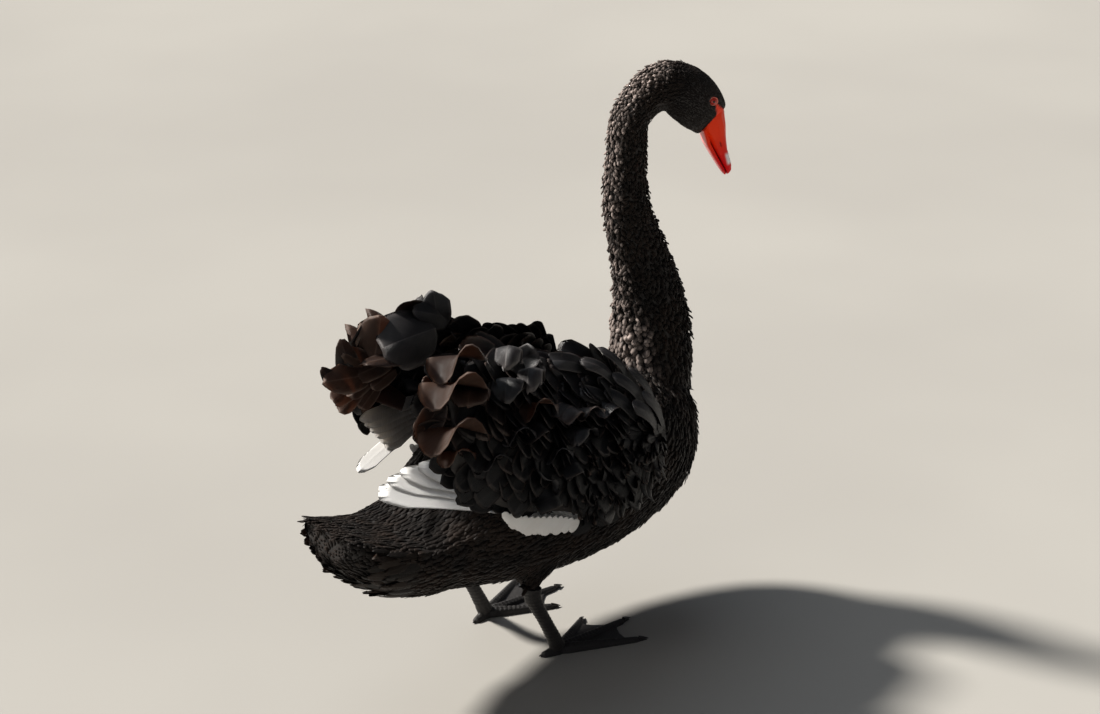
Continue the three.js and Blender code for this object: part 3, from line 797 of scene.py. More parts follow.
def wing_core(side, name):
    """The arm and its web of skin: a grid laid along the wing and given its thickness."""
    bpy.ops.object.select_all(action="DESELECT")
    bpy.ops.mesh.primitive_grid_add(x_subdivisions=40, y_subdivisions=16, size=2)
    core = bpy.context.object
    core.name = name
    grid = corners_of(core.data)
    along = 0.01 + 0.95 * (grid[:, 0] + 1) / 2
    down = 0.03 + 0.94 * (grid[:, 1] + 1) / 2
    if side == LEFT:
        down = down * (1 - LEFT_CORE_CUT * smooth_step(along, 0.40, 0.60))
    move_corners(core.data, wing_place(side, along, down, CORE_SINK))
    thickness = core.modifiers.new("thickness", "SOLIDIFY")
    thickness.thickness = CORE_THICK
    thickness.offset = 0
    bpy.ops.object.modifier_apply(modifier="thickness")
    faced_out(core)
    mapped(core, 0.01)
    marked(core, "bare", np.zeros(len(core.data.vertices)))
    bpy.ops.object.shade_smooth()
    core.data.materials.append(skin.data.materials[0])
    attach(core, "root")
    return core


VANE_COLUMNS = np.array((-1, -0.9, -0.75, -0.55, -0.33, -0.12, 0, 0.12, 0.33, 0.55, 0.75, 0.9, 1))
FINE = np.linspace(0, 1, 80)
TURN_ROUND = 2 * math.pi
SHAFT_HIGH, SHAFT_TAPER = 0.0005, 0.8
VANE_THICK = 0.0006
# How square a vane's end is, how far up its ripple starts, and how much that is rounded.
END_SQUARE, RIPPLE_FROM, RIPPLE_ROUNDED = 2.6, 0.40, 0.45


def course(lift, curl, curl_from, swing=0.0, swings=1.0):
    """A shaft's slope on the way to its tip, and how far ahead and above its root that leads."""
    slope = lift + curl * np.clip((FINE - curl_from) / (1 - curl_from), 0, 1) ** 1.3
    slope = slope + swing * np.cos(TURN_ROUND * swings * FINE)
    ahead = np.r_[0, np.cumsum(np.cos(slope[:-1]))] / (len(FINE) - 1)
    above = np.r_[0, np.cumsum(np.sin(slope[:-1]))] / (len(FINE) - 1)
    return slope, ahead, above


def vane(
    root, run, off, length, half, lift=0.1, curl=0.4, curl_from=0.3, cup=0.15, wave=0.0, phase=0.0,
    waves=3.1, twist=0.0, swing=0.0, swings=1.0, blunt=0.12, root_width=0.45, ragged=0.0, rows=12,
):
    """One feather's upper and lower sheet as arrays: places, how far out from the shaft and
    how far to the tip. It leaves the root along run and bends off the wing toward off."""
    share = np.linspace(0, 1, rows + 1)[:, None]
    columns = VANE_COLUMNS[None]
    torn = rng.uniform(0, ragged, len(VANE_COLUMNS))[None]
    at = share * (1 - blunt * np.abs(columns) ** END_SQUARE - torn)
    bend, ahead, above = course(lift, curl, curl_from, swing, swings)
    bend_at = np.interp(at, FINE, bend)[..., None]
    face = off * np.cos(bend_at) - run * np.sin(bend_at)
    side = np.cross(off, run)
    turn = (twist * at ** 2)[..., None]
    across = side * np.cos(turn) + face * np.sin(turn)
    upward = face * np.cos(turn) - side * np.sin(turn)
    width = half * (1 - (1 - np.minimum(at / 0.5, 1)) ** 2 * (1 - root_width))
    ripple = np.sin(phase + waves * columns)
    ripple = ripple / (1 - RIPPLE_ROUNDED + RIPPLE_ROUNDED * np.abs(ripple)) * wave * half
    ripple = ripple * smooth_step(at, RIPPLE_FROM, 1.0)
    shaft = SHAFT_HIGH * (columns == 0) * (1 - SHAFT_TAPER * at)
    ahead, above = (np.interp(at, FINE, way)[..., None] for way in (ahead, above))
    middle = root + length * (ahead * run + above * off)
    sag = (ripple - cup * half * columns ** 2 + shaft)[..., None]
    upper = middle + across * (width * columns)[..., None] + upward * sag
    thin = VANE_THICK * (1 - columns ** 2) * (1 - share ** 4) * np.minimum(1, share * 8)
    lower = upper - upward * (thin + shaft)[..., None]
    return upper, lower, np.broadcast_to(columns, at.shape), at


def sheet_pattern(rows):
    """Corner numbers of one feather: the lower sheet shares the margin of the upper one."""
    columns = len(VANE_COLUMNS)
    upper = np.arange((rows + 1) * columns).reshape(rows + 1, columns)
    lower = upper.copy()
    inner = (rows - 1) * (columns - 2)
    lower[1:-1, 1:-1] = upper.size + np.arange(inner).reshape(rows - 1, columns - 2)
    quads = [
        (grid[row, column], grid[row, column + 1], grid[row + 1, column + 1], grid[row + 1, column])[::turn]
        for grid, turn in ((upper, 1), (lower, -1))
        for row in range(rows) for column in range(columns - 1)
    ]
    return np.array(quads), upper.size + inner


# The empty margin of each feather's patch on the map, as a share of the patch.
PATCH_EDGE = 0.06


def feathers(name, made, rows, material, tints):
    """Many feathers as one mesh, each with its own patch of the map."""
    pattern, each = sheet_pattern(rows)
    corners, vane_map, bake_map, edge, tip = [], [], [], [], []
    cells = math.ceil(math.sqrt(len(made)))
    for number, (upper, lower, across, along) in enumerate(made):
        flat = np.concatenate([upper.reshape(-1, 3), lower[1:-1, 1:-1].reshape(-1, 3)])
        across = np.concatenate([across.ravel(), across[1:-1, 1:-1].ravel()])
        along = np.concatenate([along.ravel(), along[1:-1, 1:-1].ravel()])
        corners.append(flat)
        width = np.linalg.norm(upper[rows // 2, 0] - upper[rows // 2, -1]) / 2
        reach = np.linalg.norm(np.diff(upper[:, len(VANE_COLUMNS) // 2], axis=0), axis=1).sum()
        vane_map.append(np.stack([0.5 + across * width * 10, along * reach * 10], 1))
        cell = np.array((number % cells, number // cells))
        inside = np.stack([across / 2 + 0.5, along], 1) * (1 - 2 * PATCH_EDGE)
        bake_map.append((cell + PATCH_EDGE + inside) / cells)
        edge.append(np.maximum(np.abs(across), along ** 2))
        tip.append(along)
    quads = (np.arange(len(made))[:, None, None] * each + pattern[None]).reshape(-1, 4)
    values = {
        "OFBake": np.concatenate(bake_map),
        "vane": np.concatenate(vane_map),
        "edge": np.concatenate(edge),
        "tip": np.concatenate(tip),
        "tint": np.repeat(np.asarray(tints, float), each),
    }
    piece = joined(name, np.concatenate(corners), quads, np.zeros((0, 3), int), values)
    piece.data.materials.append(material)
    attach(piece, "root")
    return piece


def vane_finish(name, dark, brown, rim, roughness, rim_share, through, gloss=0.16):
    """Feather vane: barbs slant off the shaft, the margin is paler, partly from wear and partly a painted
    rim highlight, light glows through.
    """
    finish = Finish(name, roughness=roughness, specular_ior_level=gloss)
    across, along, _ = finish.parts(finish.node("ShaderNodeUVMap", {"uv_map": "vane"}))
    tint = finish.attribute("tint")
    off_shaft = abs(across - 0.5)
    slant = along * 10.0 - off_shaft * 11.0
    cloud = finish.noise(30, 3.0)
    barbs = (slant * 62.0 + cloud * 9.0).sine()
    bundle = finish.node("ShaderNodeCombineXYZ", None, {0: slant * 5.0, 1: off_shaft * 1.5, 2: tint * 40.0})
    streaks = finish.noise(1.6, 4.0, bundle, 0.65)
    shade = (tint + (finish.attribute("tip") - 0.5) * 0.35 + (cloud - 0.5) * 0.4).between(0.22, 0.95)
    # The paler margin is partly wear and partly a painted rim highlight.
    margin = finish.attribute("edge").between(0.72, 1.02) * rim_share
    shaft = 1.0 - off_shaft.between(0.004, 0.009)
    ground = finish.mixed(shaft * 0.3 * tint, finish.mixed(shade, dark, brown), rim)
    tone = finish.mixed(margin * (0.04 + tint * 0.96), ground, rim)
    share, low_share, colour = through
    finish.glows_through(low_share + shade * (share - low_share), colour)
    return finish.feeds(
        base_color=finish.mixed(0.1 + streaks.between(0.35, 0.75) * 0.45, tone, dark),
        roughness=roughness - 0.1 + streaks * 0.3 + tint * 0.1,
        normal=finish.bump(barbs + streaks * 6.0, 0.5, 0.00016),
    )


wing_vanes = vane_finish(
    "wing_vanes", (0.0042, 0.0042, 0.0052, 1), (0.078, 0.045, 0.032, 1), (0.38, 0.28, 0.23, 1), 0.30, 0.8,
    (0.28, 0.0, (0.40, 0.21, 0.13, 1)), gloss=0.24,
)
glossy_vanes = vane_finish(
    "glossy_vanes", (0.0045, 0.005, 0.0066, 1), (0.044, 0.038, 0.038, 1), (0.36, 0.32, 0.31, 1), 0.40, 0.6,
    (0.05, 0.0, (0.25, 0.22, 0.22, 1)), gloss=0.45,
)


def scattered(low_along, high_along, low_down, high_down, spacing, side):
    """Staggered places over a stretch of a wing, as along and down."""
    tries = rng.random((4000, 2))
    along = low_along + (high_along - low_along) * tries[:, 0]
    down = low_down + (high_down - low_down) * tries[:, 1]
    kept = thinned(wing_place(side, along, down), np.full(len(along), spacing))
    return along[kept], down[kept]


def laid(side, along, down, face, turn, length, half, shelf=0.0, off_wing=0.001, **shape):
    """A feather on a wing: turned from the way back by turn, down the wing where positive, and
    rolled by shelf until it stands off the wing with its face up."""
    at, back, low, off = wing_lie(side, along, down, face)
    at = at + off * off_wing
    flat, tipped = math.cos(shelf), math.sin(shelf)
    off, low = off * flat - low * tipped, low * flat + off * tipped
    run = unit(back * math.cos(turn) + low * math.sin(turn))
    return vane(at, run, off, length, half, **shape)


def about(value, part):
    """The value give or take a part of itself."""
    return value * rng.uniform(1 - part, 1 + part)


WING_WORD = {RIGHT: "right", LEFT: "left"}
# The large feathers that lie along the wing, one row each: nine long leaves that stand up and
# back over the shoulder, then those that fold over at their ends. Along, down, face, turn,
# length and half width in millimetres, lift, curl, where the curl starts, wave and brownness.
FOLDED = {
    RIGHT: (
        (0.02, 0.34, 1, -0.42, 78, 10, 0.22, -0.75, 0.30, 0.10, 0.20),
        (0.06, 0.16, 1, -0.36, 84, 10, 0.24, -0.80, 0.30, 0.10, 0.25),
        (0.10, 0.42, 1, -0.42, 80, 11, 0.22, -0.75, 0.30, 0.10, 0.20),
        (0.14, 0.24, 1, -0.34, 86, 11, 0.26, -0.85, 0.30, 0.12, 0.30),
        (0.17, 0.04, 1, -0.22, 84, 10, 0.26, -0.85, 0.30, 0.12, 0.35),
        (0.22, 0.34, 1, -0.36, 74, 11, 0.24, -0.80, 0.30, 0.12, 0.25),
        (0.26, 0.10, 1, -0.16, 76, 11, 0.28, -0.95, 0.30, 0.14, 0.40),
        (0.31, 0.26, 1, -0.26, 66, 11, 0.26, -0.85, 0.30, 0.14, 0.30),
        (0.34, 0.00, 1, -0.04, 74, 12, 0.30, -1.00, 0.30, 0.14, 0.40),
        (0.54, 0.00, 1, 0.35, 66, 14, 0.30, 1.5, 0.25, 0.15, 0.25),
        (0.45, 0.00, 1, 0.30, 62, 13, 0.20, 1.0, 0.30, 0.12, 0.20),
        (0.58, 0.56, 1, 0.90, 60, 19, 0.10, 1.8, 0.45, 0.32, 0.10),
        (0.40, 0.26, 1, 0.90, 54, 16, 0.12, 1.6, 0.45, 0.32, 0.15),
    ),
    LEFT: (
        (0.44, 0.10, -1, -0.20, 60, 15, 0.12, -0.7, 0.30, 0.12, 0.08),
        (0.34, 0.08, -1, -0.15, 54, 13, 0.10, -0.5, 0.30, 0.12, 0.05),
    ),
}
# The ribbons: feathers that stand off the wing like shelves and swing up and down on the way
# to their tips. Along, down, turn, length, half width, shelf, lift, swing, swings, brownness.
RIBBONS = (
    (0.49, 0.37, 0.15, 66, 16, 0.95, 0.15, 1.10, 0.70, 0.40),
    (0.53, 0.66, 0.20, 56, 15, 0.90, 0.10, 1.00, 0.75, 0.08),
    (0.60, 0.86, 0.20, 54, 14, 0.90, 0.10, 1.00, 0.75, 0.08),
    (0.33, 0.30, 0.10, 50, 13, 0.90, 0.10, 0.90, 0.70, 0.12),
    (0.64, 0.46, 0.15, 66, 17, 0.90, 0.05, 1.00, 0.85, 0.12),
)
# The showiest feathers, one row each, by the middle of its free end: X, Y and Z in
# millimetres, the way it runs there in degrees round and up, its roll, its length and half
# width in millimetres, lift, curl, wave, phase, cup, brownness and how round its end is.
SHOWY = {
    RIGHT: (
        (-208, -121, 453, -135, 0, 0, 70, 34, 0.50, -0.75, 0.80, 0.0, 0.10, 0.60, 0.10),
        (-226, -138, 431, -135, 0, 5, 72, 40, 0.50, -0.70, 0.70, 0.1, 0.10, 0.90, 0.10),
        (-228, -138, 377, -135, 0, 5, 72, 41, 0.50, -0.70, 0.70, 0.1, 0.10, 0.90, 0.10),
        (-217, -130, 346, -135, 0, 0, 50, 22, 0.40, -0.60, 0.60, 0.2, 0.10, 1.00, 0.10),
        (-138, -126, 429, -140, 0, 0, 80, 15, 1.00, -2.60, 0.45, 0.6, 0.25, 0.29, 0.15),
        (-108, -131, 394, -140, 0, -5, 84, 15, 0.90, -2.40, 0.45, 0.8, 0.25, 0.29, 0.15),
        (-148, -136, 395, -140, 0, 0, 74, 18, 0.70, -2.20, 0.25, 0.4, 0.15, 0.10, 0.25),
        (-109, -146, 377, -135, 0, 0, 56, 24, 0.40, -0.60, 0.70, 0.3, 0.10, 0.95, 0.12),
        (-51, -146, 317, -135, 0, 0, 56, 17, 0.60, -2.00, 0.30, 0.4, 0.15, 0.12, 0.30),
        (-21, -141, 346, -135, 0, 0, 46, 17, 0.40, -0.60, 0.60, 0.3, 0.10, 0.30, 0.15),
        (-82, -150, 314, -135, 0, 0, 50, 19, 0.40, -0.60, 0.60, 0.3, 0.10, 0.15, 0.15),
        (-140, -146, 354, -135, 0, 0, 56, 22, 0.40, -0.60, 0.60, 0.3, 0.10, 0.15, 0.15),
        (-169, -141, 329, -135, 0, 0, 52, 20, 0.40, -0.60, 0.60, 0.3, 0.10, 0.20, 0.15),
        (-198, -130, 402, -140, 0, 0, 60, 22, 0.50, -1.60, 0.30, 0.3, 0.10, 0.50, 0.20),
    ),
    LEFT: (
        (-190, 34, 422, 180, -2, 58, 90, 35, 0.30, -0.95, 0.10, 0.0, 0.40, 0.29, 0.30),
        (-172, 50, 456, 180, 102, 125, 70, 24, 0.45, -1.00, 0.22, 0.5, 0.30, 0.90, 0.20),
        (-228, 55, 440, 180, 74, 115, 54, 15, 0.20, -0.60, 0.15, 0.0, 0.35, 0.45, 0.70),
        (-262, 50, 397, 180, 8, 70, 76, 19, 0.20, -0.60, 0.15, 0.8, 0.35, 0.85, 0.45),
        (-258, 55, 412, 180, 50, 100, 40, 10, 0.10, -0.40, 0.15, 0.0, 0.30, 0.35, 0.60),
        (-92, 50, 465, 180, 82, 125, 60, 18, 0.60, -1.50, 0.25, 0.4, 0.25, 0.15, 0.25),
        (-130, 45, 451, 180, 25, 70, 66, 16, 0.30, -0.90, 0.12, 0.2, 0.35, 0.10, 0.40),
        (-222, 30, 412, 180, 10, 20, 104, 13, 0.20, -0.50, 0.20, 0.3, 0.15, 0.60, 0.30),
        (-228, 55, 424, 180, 35, 85, 60, 14, 0.20, -0.60, 0.20, 0.9, 0.30, 0.75, 0.40),
        (-218, 50, 390, 180, -5, 55, 60, 13, 0.20, -0.50, 0.25, 1.5, 0.25, 0.70, 0.30),
        (-224, 50, 368, 185, -20, 60, 50, 11, 0.20, -0.40, 0.25, 0.0, 0.20, 1.00, 0.25),
        (-229, 60, 346, 185, -30, 60, 46, 11, 0.20, -0.40, 0.25, 1.0, 0.20, 1.00, 0.25),
        (-198, 60, 342, 185, -35, 60, 42, 10, 0.20, -0.40, 0.25, 0.4, 0.20, 1.00, 0.25),
        (-190, 50, 369, 185, -15, 60, 46, 10, 0.20, -0.40, 0.25, 2.0, 0.20, 1.00, 0.25),
        (-244, 55, 366, 185, -10, 60, 46, 12, 0.20, -0.40, 0.25, 1.4, 0.20, 0.80, 0.25),
    ),
}
# Feathers less brown than this are the glossy black ones.
GLOSSY_BELOW = 0.3
# How far the left wing's outer feathers sit from the mirror image of the right wing's.
LEFT_SHIFT = np.array((0.056, -0.034, -0.028))
# How large the ribbons of the left wing are beside those of the right.
LEFT_RIBBONS = 0.72
SHOWY_CURL_FROM = 0.2


def folded_feather(side, row):
    along, down, face, turn, length, half, lift, curl, curl_from, wave, tint = row
    feather = laid(
        side, along, down, face, turn, length / 1000, half / 1000, lift=lift, curl=curl,
        curl_from=curl_from, cup=0.12, wave=wave, phase=rng.uniform(-0.3, 0.3),
        twist=rng.uniform(-0.2, 0.3), blunt=0.10, ragged=0.02, rows=16,
    )
    return feather, tint


def showy_feather(row, mirror):
    """A feather that ends at a given place; mirrored across the body's middle for the other wing."""
    x, y, z, heading, pitch, roll, length, half, lift, curl, wave, phase, cup, tint, blunt = row
    heading, pitch, roll = (math.radians(turn) for turn in (heading, pitch, roll))
    run = np.array((
        math.cos(heading) * math.cos(pitch), math.sin(heading) * math.cos(pitch), math.sin(pitch),
    ))
    beside = np.array((-math.sin(heading), math.cos(heading), 0))
    off = np.cross(run, beside) * math.cos(roll) + beside * math.sin(roll)
    end = np.array((x, y, z)) / 1000
    if mirror:
        end = end * MIRROR[RIGHT] + np.array((0, 2 * MIDLINE, 0)) + LEFT_SHIFT
        run, off = run * MIRROR[RIGHT], off * MIRROR[RIGHT]
    _, ahead, above = course(lift, curl, SHOWY_CURL_FROM)
    root = end - (run * ahead[-1] + off * above[-1]) * length / 1000
    feather = vane(
        root, run, off, length / 1000, half / 1000, lift=lift, curl=curl, curl_from=SHOWY_CURL_FROM,
        wave=wave, phase=phase, cup=cup, root_width=0.7, blunt=blunt, ragged=0.04, rows=16,
    )
    return feather, tint


def ribbon_feather(side, row, size):
    along, down, turn, length, half, shelf, lift, swing, swings, tint = row
    feather = laid(
        side, along, down, 1, turn, size * length / 1000, size * half / 1000, shelf=shelf,
        off_wing=0.007, lift=lift, swing=swing, swings=swings, cup=0.1, wave=0.12, blunt=0.12,
        phase=rng.uniform(0, TURN_ROUND), twist=rng.uniform(-0.25, 0.25), ragged=0.02, rows=20,
    )
    return feather, tint


for side, word in WING_WORD.items():
    core = wing_core(side, "wing_core_" + word)
    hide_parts("wing_" + word)

    # Leaf-like feathers on the shoulder, their tips up and back, then small ragged ones below
    # and the shoulder's share of the inner face.
    made, tints = [], []
    for along, down in zip(*scattered(0.0, 0.40, 0.0, 0.62, 0.0098, side)):
        size = 0.75 + along
        made.append(laid(
            side, along, down, 1, rng.uniform(-0.45, -0.15) + 0.8 * down, about(0.044, 0.15) * size,
            about(0.0092, 0.15) * size, lift=rng.uniform(0.04, 0.16), curl=rng.uniform(-0.25, 0.1), cup=0.3,
            blunt=0.4, rows=8,
        ))
        tints.append(rng.uniform(0, 0.25))
    for along, down in zip(*scattered(0.0, 0.46, 0.5, 0.95, 0.0090, side)):
        made.append(laid(
            side, along, down, 1, rng.uniform(0.2, 1.1), about(0.025, 0.25), about(0.0068, 0.2),
            lift=rng.uniform(0.1, 0.5), curl=rng.uniform(-0.6, 1.2), cup=0.3, blunt=0.4,
            twist=rng.uniform(-0.6, 0.6), rows=8,
        ))
        tints.append(rng.uniform(0, 0.3))
    for along, down in zip(*scattered(0.0, 0.34, 0.0, 1.0, 0.013, side)):
        made.append(laid(
            side, along, down, -1, about(0.05, 4), about(0.028, 0.15), about(0.0085, 0.15),
            lift=about(0.14, 0.5), curl=about(0.15, 0.9), cup=0.2, blunt=0.35, rows=8,
        ))
        tints.append(rng.uniform(0, 0.5))
    feathers("wing_shoulder_" + word, made, 8, wing_vanes, tints)

    # Blunt tiles that hang down and back, and the lining of the inner face. On the left wing
    # the tiles get shorter down and back, and the lining stops above the lower edge.
    made, tints = [], []
    shortened, lining_down = (0.0, 1.0) if side == RIGHT else (0.75, 0.78)
    for along, down in zip(*scattered(0.24, 0.84, 0.0, 0.80, 0.0160, side)):
        made.append(laid(
            side, along, down, 1, rng.uniform(0.45, 1.05),
            about(0.058, 0.12) * (1 - 0.42 * down ** 2) * (1 - shortened * along * down),
            about(0.0175, 0.12), lift=about(0.09, 0.4), curl=rng.uniform(0.0, 0.55),
            wave=rng.uniform(0.0, 0.1), phase=rng.uniform(0, TURN_ROUND), waves=3, cup=0.14, blunt=0.2,
            ragged=0.015, rows=9,
        ))
        # The brownness falls off down the wing, so the lower tiles are darker: painted shade.
        tints.append(rng.uniform(0, 0.6) * along * (1 - down))
    for along, down in zip(*scattered(0.25, 1.0, 0.0, lining_down, 0.018, side)):
        made.append(laid(
            side, along, down, -1, rng.uniform(-0.35, 0.3), about(0.062, 0.15) * (1 - 0.62 * along * down),
            about(0.017, 0.15), lift=about(0.10, 0.5), curl=rng.uniform(-0.4, 0.6),
            wave=rng.uniform(0, 0.25), phase=rng.uniform(0, TURN_ROUND), cup=0.2, blunt=0.2, ragged=0.03,
            rows=9,
        ))
        # The brownness falls off down the wing here too, so the lower lining is darker: painted shade.
        tints.append(rng.uniform(0, 0.8) * (0.4 + along * 0.6) * (1 - down))
    feathers("wing_middle_" + word, made, 9, wing_vanes, tints)

    folded = [folded_feather(side, row) for row in FOLDED[side]]
    showy = [showy_feather(row, False) for row in SHOWY[side]]
    if side == LEFT:
        folded += [folded_feather(side, row) for row in FOLDED[RIGHT]]
        showy += [showy_feather(row, True) for row in SHOWY[RIGHT]]
    folded += [(feather, tint * 2) for feather, tint in showy if tint < GLOSSY_BELOW]
    showy = [(feather, tint) for feather, tint in showy if tint >= GLOSSY_BELOW]
    size = 1.0 if side == RIGHT else LEFT_RIBBONS
    ribbons = [ribbon_feather(side, row, size) for row in RIBBONS]
    kinds = (
        ("folded", folded, 16, glossy_vanes),
        ("showy", showy, 16, wing_vanes),
        ("ribbons", ribbons, 20, wing_vanes),
    )
    for kind, grown, rows, vanes in kinds:
        made, tints = zip(*grown)
        feathers("wing_" + kind + "_" + word, made, rows, vanes, tints)


# Flight feathers: the white primaries, the longest vanes, stacked like a closed fan below
# each wing, and the white row of the arm that shows as a patch under the wing's lower edge.
# The left wing's inner blades are painted darker toward their roots: painted shade.

# Each wing's fan: the first blade's root, the step from one root to the next, a blade's half
# width and the blades' tips, all as on the right wing.
FANS = {
    RIGHT: ((-0.045, 0.122, 0.222), (0.006, 0.0012, -0.0012), 0.0165, (
        (-0.255, 0.038, 0.277), (-0.249, 0.032, 0.281), (-0.234, 0.029, 0.287), (-0.215, 0.030, 0.292),
        (-0.193, 0.035, 0.295), (-0.172, 0.046, 0.296),
    )),
    LEFT: ((-0.075, 0.085, 0.284), (0.006, 0.0012, 0.0032), 0.0105, (
        (-0.230, 0.024, 0.278), (-0.172, 0.040, 0.286), (-0.176, 0.044, 0.293), (-0.181, 0.048, 0.300),
        (-0.186, 0.052, 0.307), (-0.191, 0.056, 0.314), (-0.196, 0.060, 0.321),
    )),
}
BLADE_FACE = np.array((-0.3, -0.38, 0.85))
BLADE_BOW = 0.16
INNER_TINT = 0.6
# The white row of the arm: where it starts along each wing, how far it reaches, how far down
# it is rooted, the way from feather to feather, and a feather's half width.
ARM_FROM = {RIGHT: 0.50, LEFT: 0.33}
ARM_REACH, ARM_DOWN, ARM_STEP, ARM_HALF = 0.25, 0.97, 0.083, 0.0085


def spanned(root, tip, off, half, bow, **shape):
    """A feather between two places that bows toward off on the way."""
    root, tip = np.array(root), np.array(tip)
    run = unit(tip - root)
    off = unit(off - run * (off @ run))
    length = np.linalg.norm(tip - root)
    return vane(root, run, off, length, half, lift=bow, curl=-2 * bow, curl_from=0, **shape)


white_vanes = vane_finish(
    "white_vanes", (0.90, 0.89, 0.87, 1), (0.86, 0.84, 0.81, 1), (0.92, 0.91, 0.90, 1), 0.5, 0.5,
    (0.12, 0.12, (0.96, 0.95, 0.93, 1)),
)
# A darker copy of the white finish, darkest at the roots: painted shade on the blades inside the outermost
# one.
shaded_vanes = vane_finish(
    "shaded_vanes", (0.24, 0.22, 0.20, 1), (0.86, 0.83, 0.79, 1), (0.88, 0.86, 0.83, 1), 0.5, 0.4,
    (0.45, 0.20, (0.85, 0.80, 0.74, 1)),
)
for side, word in WING_WORD.items():
    first_root, root_step, blade_half, tips = FANS[side]
    made = []
    for number, tip in enumerate(tips):
        root = np.array(first_root) + np.array(root_step) * number
        ends = [MIRROR[side] * np.array(end) + np.array((0, MIDLINE, 0)) for end in (root, tip)]
        made.append(spanned(
            *ends, BLADE_FACE, blade_half, BLADE_BOW, cup=0.02, blunt=0.13, root_width=0.7,
            ragged=0.008, rows=16,
        ))
    if side == LEFT:
        inner, made = made[1:], made[:1]
        feathers("flight_inner_left", inner, 16, shaded_vanes, [INNER_TINT] * len(inner))
    # The white row of the arm is longest in its middle.
    for share in np.arange(0, 1.001, ARM_STEP):
        at, back, low, off = wing_lie(side, ARM_FROM[side] + ARM_REACH * share, ARM_DOWN, 1)
        arm_length = 0.007 + 0.023 * math.sin(math.pi * (0.15 + 0.82 * share))
        made.append(vane(
            at + off * 0.005 + low * 0.006, unit(back * 0.7 + low), off, about(arm_length, 0.15), ARM_HALF,
            lift=0.10, curl=-0.3, cup=0.1, blunt=0.22, ragged=0.06, rows=16,
        ))
    piece = feathers("flight_" + word, made, 16, white_vanes, rng.uniform(0, 1, len(made)))
    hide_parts("primaries_" + word)


# Bill: horn over bone, in an upper and a lower half that meet in a long line, painted dark as
# shade. Orange red at its foot and crimson at its end, with a pale band and a hard nail at the
# tip; the nostrils are slits halfway down its sides, painted dark as shade, and the lower
# half's rear edge underneath carries a painted highlight.
BILL_FOOT = np.array((3.0, -30.0))
BILL_END = np.array((27.0, -98.5))
BILL_MEET = np.array((
    (-8.6, -41.2), (-2.1, -49.7), (5.3, -62.6), (12.8, -75.9), (18.7, -86.6), (23.0, -94.6), (25.1, -98.7),
))
BILL_CREST = np.array((
    (11.8, -7.5), (19.9, -21.4), (21.2, -42.8), (23.5, -64.2), (27.8, -79.1), (30.3, -89.8), (27.8, -97.3),
))
# How far each half's foot runs on into the head: ahead, left and up, in millimetres, and
# the stretch of the bill that is drawn out for it. How much the foot swells and how far the
# spot under the brow is drawn ahead are in metres.
FOOT_SUNK = {"bill_upper": (-1.8, 0, 5.2), "bill_lower": (1.0, 0, 9.0)}
FOOT_DRAWN = {"bill_upper": (-0.02, 0.16), "bill_lower": (0.13, 0.36)}
FOOT_SWOLLEN = {"bill_upper": 0.0006, "bill_lower": 0}
BROW_DRAWN = 0.0022
# How steeply the bill points down: its run ahead and its drop, as parts of 1.
BILL_AHEAD, BILL_DROP = 0.33, 0.944
NOSTRIL = np.array((12.5, -57.0))
NOSTRIL_LONG, NOSTRIL_WIDE, NOSTRIL_DEEP = 4.2, 1.0, 1.2
NAIL_START, NAIL_HALF, NAIL_HIGH = 0.88, 6, 0.45
# The pale band's rise and fall down the bill, and how far from the crest it fades out.
BAND, CREST_NEAR, CREST_FAR = (0.60, 0.68, 0.79, 0.86), 4.4, 8.0
# Half width of the mouth line, painted dark as shade in the seam between the halves.
LIP_HALF = 0.5


def from_line(ahead, up, line):
    """The distance of places from a line of corners, seen from the side."""
    places = np.stack([ahead, up], 1)
    nearest = np.full(len(places), np.inf)
    for start, end in zip(line[:-1], line[1:]):
        run = end - start
        share = np.clip((places - start) @ run / (run @ run), 0, 1)
        nearest = np.minimum(nearest, np.linalg.norm(places - start - share[:, None] * run, axis=1))
    return nearest


def bill_finish():
    finish = Finish("bill", roughness=0.4, specular_ior_level=0.12, coat_weight=0.02, coat_roughness=0.2)
    down = finish.attribute("down")
    cloud = finish.noise(160, 3.0)
    reddened = (down + (cloud - 0.5) * 0.3).between(0.1, 0.8)
    ground = finish.mixed(reddened, BILL_RED, (0.82, 0.008, 0.012, 1))
    # Pale: the bill's own pale band, and along the lower half's rear edge a painted highlight.
    pale = finish.mixed(finish.attribute("pale"), ground, (1.0, 0.96, 0.98, 1))
    # The nostril slits and the mouth line are painted dark: painted shade.
    dark = finish.mixed(finish.attribute("dark"), pale, (0.035, 0.006, 0.005, 1))
    grain = finish.noise(700, 3.0)
    return finish.feeds(
        base_color=dark,
        roughness=0.30 + cloud * 0.16,
        normal=finish.bump(grain + cloud * 2.0, 0.18, 0.0003),
    )


